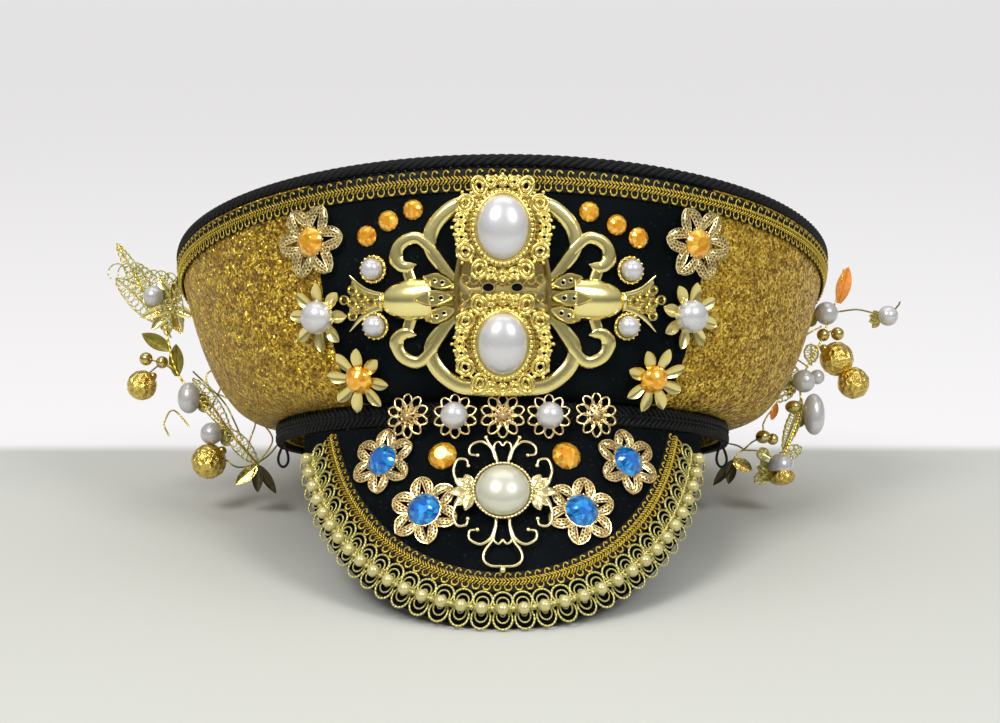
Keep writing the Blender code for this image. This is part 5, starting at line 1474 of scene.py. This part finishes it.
RIGHT_WIRES = (
    ((96.3, 3.0), (101.0, 2.0), (104.0, 0.0)),
    ((104.0, 0.0), (101.0, -2.0), (99.5, -4.5)),
    ((104.0, 0.0), (112.0, -1.0), (119.9, -5.0)),
    ((104.0, 0.0), (108.0, 3.5), (112.5, 5.6)),
    ((119.9, -5.0), (125.0, 6.0), (129.0, 17.5), (129.5, 29.8), (135.0, 41.0), (139.5, 50.0), (143.0, 60.0)),
    ((139.5, 50.0), (142.5, 51.5), (145.6, 50.5)),
    ((143.0, 60.0), (155.0, 61.0), (167.8, 58.4)),
    ((143.0, 60.0), (146.0, 67.0), (149.0, 79.0)),
    ((137.0, 45.0), (141.0, 43.0), (145.0, 39.5)),
    ((145.0, 39.5), (150.0, 35.0), (152.0, 29.0)),
    ((129.0, 20.0), (131.0, 18.0), (134.6, 15.4)),
    ((132.0, 36.0), (124.0, 44.0), (132.0, 50.0), (139.0, 54.0)),
    ((167.8, 58.4), (172.0, 62.5), (173.2, 64.5)),
    ((112.5, 5.6), (113.0, 12.0), (117.0, 18.0)),
)
SPRAY_FINISHES = (
    "gold_thread", "white_pearl", "gold_foil", "polished_gold", "lace_thread", "olive_leaf", "dark_leaf",
    "orange_leaf", "cast_gold",
)
THREAD, PEARL, FOIL, BEAD, LACE, OLIVE, DARK, ORANGE, CAST = range(9)
LEAF_FINISHES = {"gilt": BEAD, "olive": OLIVE, "dark": DARK, "orange": ORANGE, "bronze": CAST}


def spray(name, node, side, balls, leaves, wires, seed, coils=()):
    """Bent wires that carry pearls, crumpled foil balls, gold beads and stamped, veined and lace leaves."""
    pile = Pile()
    chance = np.random.default_rng(seed)
    axes = np.eye(3)

    def spot(out, up):
        return np.array([side * out, BACK, up]) * MM

    for out, up, diameter, height, kind in balls:
        centre = spot(out, up)
        stretch = (1.0, 1.0, height / diameter)
        if kind == "foil":
            ball = globe(34, 24)
            dents = 0.05 * np.abs(wobble(*np.moveaxis(ball, -1, 0), 5.2, out)) - 0.045
            crush = 1 + dents + chance.uniform(-0.012, 0.012, (24, 34))
            pile.grid(centre + ball * crush[..., None] * np.array(stretch) * diameter / 2 * MM, finish=FOIL)
            cap = centre + np.array([-side * 0.36, 0, 0.3]) * diameter * MM
            pile.balls((cap[None], axes[None]), diameter * 0.13, sides=10, rows=6, finish=CAST)
        else:
            finish = PEARL if kind == "pearl" else BEAD
            look = {"sides": 28, "rows": 18, "stretch": stretch, "finish": finish}
            pile.balls((centre[None], axes[None]), diameter / 2, **look)
        if kind == "pearl":
            cup = centre + np.array([-side * 0.40, 0.12, -0.18]) * diameter * MM
            for k in range(4):
                t = math.radians(-50 + 34 * k + chance.uniform(-8, 8))
                along = np.array([math.cos(t) * -side, 0.15, math.sin(t)])
                small_leaf(pile, cup, unit(along), diameter * 0.55, diameter * 0.34, LACE)
    for root_out, root_up, tip_out, tip_up, width, kind in leaves:
        root = spot(root_out, root_up)
        reach = spot(tip_out, tip_up) - root
        long = np.linalg.norm(reach) / MM
        if kind == "lace":
            lace_leaf(pile, root, unit(reach), long, width)
        else:
            small_leaf(pile, root, unit(reach), long, width, LEAF_FINISHES[kind])
    for k, points in enumerate(wires):
        path = curve(points, 10 * len(points))
        depth = BACK + 0.9 * np.sin(np.linspace(0, 5 + k, len(path)) + k)
        path = np.stack([side * path[:, 0], depth, path[:, 1]], -1) * MM
        thick = 0.46 if len(points) > 4 else 0.36
        pile.tube(path, FRONT, thick, sides=6, finish=THREAD if k % 3 else OLIVE, tile=(0.4, 1 / 6))
    for start, end, turns, size in coils:
        coil(pile, start, end, turns, size)
    pile.piece(name, SPRAY_FINISHES, [node], sharp=50.0)


def small_leaf(pile, root, along, long, width, finish):
    """A pointed leaf: half width a sine of the way along, folded a little along its midrib and arched."""
    aside = unit(np.cross(FRONT, along))
    out = np.cross(along, aside)
    s = np.linspace(0, 1, 12)[:, None]
    share = np.concatenate([np.linspace(-1, 1, 7), np.linspace(1, -1, 4)])[None]
    top = np.concatenate([np.ones(7), np.zeros(4)])[None]
    half = width / 2 * np.sin(np.pi * np.clip(0.06 + 0.94 * s, 0, 1)) ** 0.8 + 0.03
    z = 0.9 * np.abs(share) ** 1.4 * np.sin(np.pi * s) + 1.1 * s**2 - np.where(top > 0, 0.0, 0.32)
    x = long * s + 0 * share
    at = (root, along, aside, out)
    pile.grid(put(at, np.stack([x, half * share, z], -1)), finish=finish, tone=0.7)
    way = np.linspace(0, 0.92, 8)
    rib = np.stack([long * way, 0 * way, 0.15 + 1.1 * way**2], -1)
    pile.tube(put(at, rib), out, 0.22, sides=5, finish=finish)


def lace_leaf(pile, root, along, long, width):
    """A lace leaf: a fine wire outline, a midrib, and rows of small thread loops that shrink to the tip."""
    aside = unit(np.cross(FRONT, along))
    out = np.cross(along, aside)
    at = (root, along, aside, out)
    edge = leaf_outline(long, width, 30)
    edge[:, 2] = 0.8 * np.sin(np.pi * edge[:, 0] / long)
    pile.tube(put(at, edge), out, 0.34, sides=5, closed=True, finish=LACE, tile=(0.5, 0.2))
    count = max(4, int(long / 2.6))
    s = (np.arange(count) + 0.7) / (count + 0.7)
    for flip in (1, -1):
        size = width * 0.21 * np.sin(np.pi * np.clip(s, 0.08, 1)) ** 0.7 + 0.25
        origins = put(at, np.stack([long * s, flip * size * 1.15, 0.3 + 0 * s], -1))
        t = np.linspace(0, TURN, 10, endpoint=False)
        ring = np.stack([np.cos(t) * 1.15, np.sin(t), 0 * t], -1)
        basis = np.stack([along, aside, out])
        path = origins[:, None] + np.einsum("k,tx->ktx", size * MM, ring @ basis)
        pile.tube(path, out, 0.25, sides=5, closed=True, finish=LACE, tile=(0.5, 0.2))
    rib = np.stack([np.linspace(-1.5, long, 10), np.zeros(10), np.full(10, 0.3)], -1)
    pile.tube(put(at, rib), out, np.linspace(0.45, 0.2, 10), sides=5, finish=BEAD)


def coil(pile, start, end, turns, size):
    """A coiled wire: a circle's point carried along a straight line from start to end."""
    t = np.linspace(0, turns * TURN, turns * 14)
    line = np.asarray(start, float) + np.subtract(end, start) * (t / t[-1])[:, None]
    x, z = line[:, 0] + np.sin(t) * size * 0.8, line[:, 1] - np.cos(t) * size
    path = np.stack([-x, BACK - 2.0 + np.sin(t * 0.5) * 0.8, z], -1) * MM
    pile.tube(path, FRONT, 0.30, sides=5, finish=LACE, tile=(0.4, 0.2))


def sprays():
    spray("left_spray", "spray_left", -1, LEFT_BALLS, LEFT_LEAVES, LEFT_WIRES, 5, LEFT_COILS)
    spray("right_spray", "spray_right", 1, RIGHT_BALLS, RIGHT_LEAVES, RIGHT_WIRES, 9)


def thread_loops():
    """Short loops of black elastic thread under the band: ovals that twist to the front as they hang."""
    for name, degrees in (("left", -72.0), ("right", 72.0)):
        angle = math.radians(degrees)
        top = ring_point(angle, GAP + BAND_THICK / 2, -0.0010)
        along = np.cross(UP, ring_outward(angle))
        t = np.linspace(0, TURN, 40, endpoint=False)
        twist = (0.5 - 0.5 * np.cos(t))[:, None]
        wide = unit(along * (1 - twist) + ACROSS * twist)
        path = top + np.sin(t)[:, None] * 2.5 * MM * wide - (1 - np.cos(t))[:, None] * 4.9 * MM * UP
        pile = Pile()
        pile.tube(path, ring_outward(angle), 0.55, sides=8, closed=True, tile=(0.5, 0.125))
        node = "thread_loop_" + name
        pile.piece("elastic_loop_" + name, ["black_cord"], [node], sharp=80.0)


# Stage. The point the camera looks at, in metres: aside from the cap's middle, and above the table
CAMERA_ASIDE, CAMERA_HEIGHT = -0.001, 0.0695


def stage_floor():
    """The table: pale grey near the cap, warm white beyond, with faint unevenness."""
    colours = bpy.context.scene.tiara_colours
    mesh = bpy.data.meshes.new("floor")
    mesh.from_pydata([(-900, -60, 0), (900, -60, 0), (900, 2000, 0), (-900, 2000, 0)], [], [(0, 1, 2, 3)])
    net = Net("pale_floor", Emission_Strength=1.0)
    _, y, _ = net.parts(net.place())
    far = y.smooth(0.128, 0.150)
    cloud = net.noise(2.2, 3.0)
    near = net.mix(cloud, tuple(c * 0.96 for c in colours.floor), tuple(colours.floor))
    glow = net.mix(far, (0.0, 0.0, 0.0), tuple(c * colours.far_glow for c in colours.backdrop))
    colour = net.mix(far, near, tuple(colours.backdrop))
    net.feed(Base_Color=colour, Roughness=0.6 + cloud * 0.1, Emission_Color=glow)
    mesh.materials.append(net.material)
    floor = bpy.data.objects.new("floor", mesh)
    bpy.context.scene.collection.objects.link(floor)


def softbox(name, place, aim, size, power, colour=(1.0, 1.0, 1.0)):
    data = bpy.data.lights.new(name, "AREA")
    data.shape, data.size, data.size_y = "RECTANGLE", size[0], size[1]
    data.energy, data.color = power, colour
    light = bpy.data.objects.new(name, data)
    light.location = place
    away = np.asarray(place) - np.asarray(aim)
    light.rotation_euler = Vector(away).to_track_quat("Z", "Y").to_euler()
    bpy.context.scene.collection.objects.link(light)


def stage_lights():
    """Three softboxes round the cap and an even room light that is dimmer from below."""
    scene = bpy.context.scene
    glow = scene.tiara_colours.glow
    softbox("key", (-0.55, -0.95, 1.15), (0, 0, 0.08), (0.5, 0.5), 12.0 * glow, (1.0, 0.99, 0.97))
    softbox("fill", (0.75, -1.0, 1.05), (0, 0, 0.08), (0.45, 0.45), 9.5 * glow, (0.97, 0.99, 1.0))
    softbox("sky", (0.0, 0.15, 1.9), (0, 0, 0.0), (1.8, 1.2), 8.0 * glow)
    world = bpy.data.worlds.new("studio")
    world.use_nodes = True
    tree = world.node_tree
    back = tree.nodes["Background"]
    where = tree.nodes.new("ShaderNodeTexCoord")
    split = tree.nodes.new("ShaderNodeSeparateXYZ")
    ramp = tree.nodes.new("ShaderNodeValToRGB")
    tree.links.new(where.outputs["Generated"], split.inputs[0])
    tree.links.new(split.outputs[2], ramp.inputs[0])
    stops = ((0.0, 0.34), (0.12, 0.36), (0.45, 1.0), (1.0, 1.0))
    set_stops(ramp.color_ramp, [(spot, (value, value, value * 1.01)) for spot, value in stops])
    tree.links.new(ramp.outputs[0], back.inputs[0])
    back.inputs[1].default_value = scene.tiara_colours.sky
    scene.world = world


def stage_camera():
    """The camera stands 0.80 m from the cap's middle and looks down by 10.8 degrees."""
    sizes = bpy.context.scene.tiara_sizes
    data = bpy.data.cameras.new("camera")
    camera = bpy.data.objects.new("camera", data)
    bpy.context.scene.collection.objects.link(camera)
    target = np.array([CAMERA_ASIDE + SHIFT_X, SHIFT_Y, CAMERA_HEIGHT])
    look = math.radians(sizes.camera_tilt)
    away = np.array([0.0, -math.cos(look), math.sin(look)]) * sizes.camera_distance
    camera.location = target + away
    camera.rotation_euler = (math.pi / 2 - look, 0.0, 0.0)
    data.sensor_width, data.lens = 36.0, sizes.camera_lens
    data.clip_start, data.clip_end = 0.01, 4000.0
    bpy.context.scene.camera = camera
    bpy.context.scene.view_settings.view_transform = "Standard"



# Add-on
class TiaraSizes(bpy.types.PropertyGroup):
    camera_distance: FloatProperty(
        name="Camera distance", description="From the cap's middle", default=0.8, unit="LENGTH"
    )
    camera_tilt: FloatProperty(
        name="Camera tilt", description="How far the camera looks down, in degrees", default=10.8
    )
    camera_lens: FloatProperty(name="Lens", description="Focal length in millimetres", default=68.4)


class TiaraColours(bpy.types.PropertyGroup):
    floor: FloatVectorProperty(
        name="Table", description="Colour near the cap", subtype="COLOR", default=(0.60, 0.605, 0.565)
    )
    backdrop: FloatVectorProperty(
        name="Backdrop", description="Colour behind the cap", subtype="COLOR", default=(0.30, 0.295, 0.295)
    )
    far_glow: FloatProperty(
        name="Backdrop glow", description="Light of the backdrop against its colour", default=2.0, min=0.0
    )
    glow: FloatProperty(
        name="Softbox power", description="Strength of the three softboxes", default=1.0, min=0.0
    )
    sky: FloatProperty(
        name="Room light", description="Strength of the even light around", default=0.50, min=0.0
    )


class TIARA_OT_cloth(bpy.types.Operator):
    """Make the velvet and glitter panels and the top"""

    bl_idname = "tiara.cloth"
    bl_label = "Cloth panels"
    bl_options = {"REGISTER", "UNDO"}

    def execute(self, context):
        wall_panels()
        top_cloth()
        return {"FINISHED"}


class TIARA_OT_peak(bpy.types.Operator):
    """Make the velvet peak"""

    bl_idname = "tiara.peak"
    bl_label = "Peak"
    bl_options = {"REGISTER", "UNDO"}

    def execute(self, context):
        peak_cloth()
        return {"FINISHED"}


class TIARA_OT_trims(bpy.types.Operator):
    """Make the rope, gimp, lace, pearls and band"""

    bl_idname = "tiara.trims"
    bl_label = "Trims"
    bl_options = {"REGISTER", "UNDO"}

    def execute(self, context):
        rope_braid()
        top_gimp()
        peak_gimp()
        lace_edge()
        edge_pearls()
        head_band()
        return {"FINISHED"}


class TIARA_OT_centre(bpy.types.Operator):
    """Make the scroll casting and its two settings"""

    bl_idname = "tiara.centre"
    bl_label = "Central ornament"
    bl_options = {"REGISTER", "UNDO"}

    def execute(self, context):
        scroll_plate()
        oval_settings()
        return {"FINISHED"}


class TIARA_OT_stones(bpy.types.Operator):
    """Make the pearl studs and the loose stones"""

    bl_idname = "tiara.stones"
    bl_label = "Studs and stones"
    bl_options = {"REGISTER", "UNDO"}

    def execute(self, context):
        studs()
        small_stones()
        return {"FINISHED"}


class TIARA_OT_flowers(bpy.types.Operator):
    """Make the flowers and daisies"""

    bl_idname = "tiara.flowers"
    bl_label = "Flowers"
    bl_options = {"REGISTER", "UNDO"}

    def execute(self, context):
        flowers()
        return {"FINISHED"}


class TIARA_OT_peak_ornament(bpy.types.Operator):
    """Make the filigree and pearl on the peak"""

    bl_idname = "tiara.peak_ornament"
    bl_label = "Peak ornament"
    bl_options = {"REGISTER", "UNDO"}

    def execute(self, context):
        peak_ornament()
        return {"FINISHED"}


class TIARA_OT_sprays(bpy.types.Operator):
    """Make the two sprays and the elastic loops"""

    bl_idname = "tiara.sprays"
    bl_label = "Side sprays"
    bl_options = {"REGISTER", "UNDO"}

    def execute(self, context):
        sprays()
        thread_loops()
        return {"FINISHED"}


class TIARA_OT_stage(bpy.types.Operator):
    """Make the table, lights and camera"""

    bl_idname = "tiara.stage"
    bl_label = "Stage"
    bl_options = {"REGISTER", "UNDO"}

    def execute(self, context):
        stage_floor()
        stage_lights()
        stage_camera()
        return {"FINISHED"}


OPERATORS = (
    TIARA_OT_cloth, TIARA_OT_peak, TIARA_OT_trims, TIARA_OT_centre,
    TIARA_OT_stones, TIARA_OT_flowers, TIARA_OT_peak_ornament, TIARA_OT_sprays,
    TIARA_OT_stage,
)


class TIARA_PT_panel(bpy.types.Panel):
    """Lists the tiara's sizes, colours and operators."""

    bl_label = "Tiara"
    bl_idname = "TIARA_PT_panel"
    bl_space_type = "VIEW_3D"
    bl_region_type = "UI"
    bl_category = "Tiara"

    def draw(self, context):
        for group in (context.scene.tiara_sizes, context.scene.tiara_colours):
            for key in group.__annotations__:
                self.layout.prop(group, key)
        for kind in OPERATORS:
            self.layout.operator(kind.bl_idname)


CLASSES = (TiaraSizes, TiaraColours, *OPERATORS, TIARA_PT_panel)


def register():
    for kind in CLASSES:
        bpy.utils.register_class(kind)
    bpy.types.Scene.tiara_sizes = PointerProperty(type=TiaraSizes)
    bpy.types.Scene.tiara_colours = PointerProperty(type=TiaraColours)


def unregister():
    del bpy.types.Scene.tiara_sizes, bpy.types.Scene.tiara_colours
    for kind in reversed(CLASSES):
        bpy.utils.unregister_class(kind)


def main():
    register()
    for kind in OPERATORS:
        getattr(bpy.ops.tiara, kind.bl_idname.split(".")[1])()


if __name__ == "__main__":
    main()
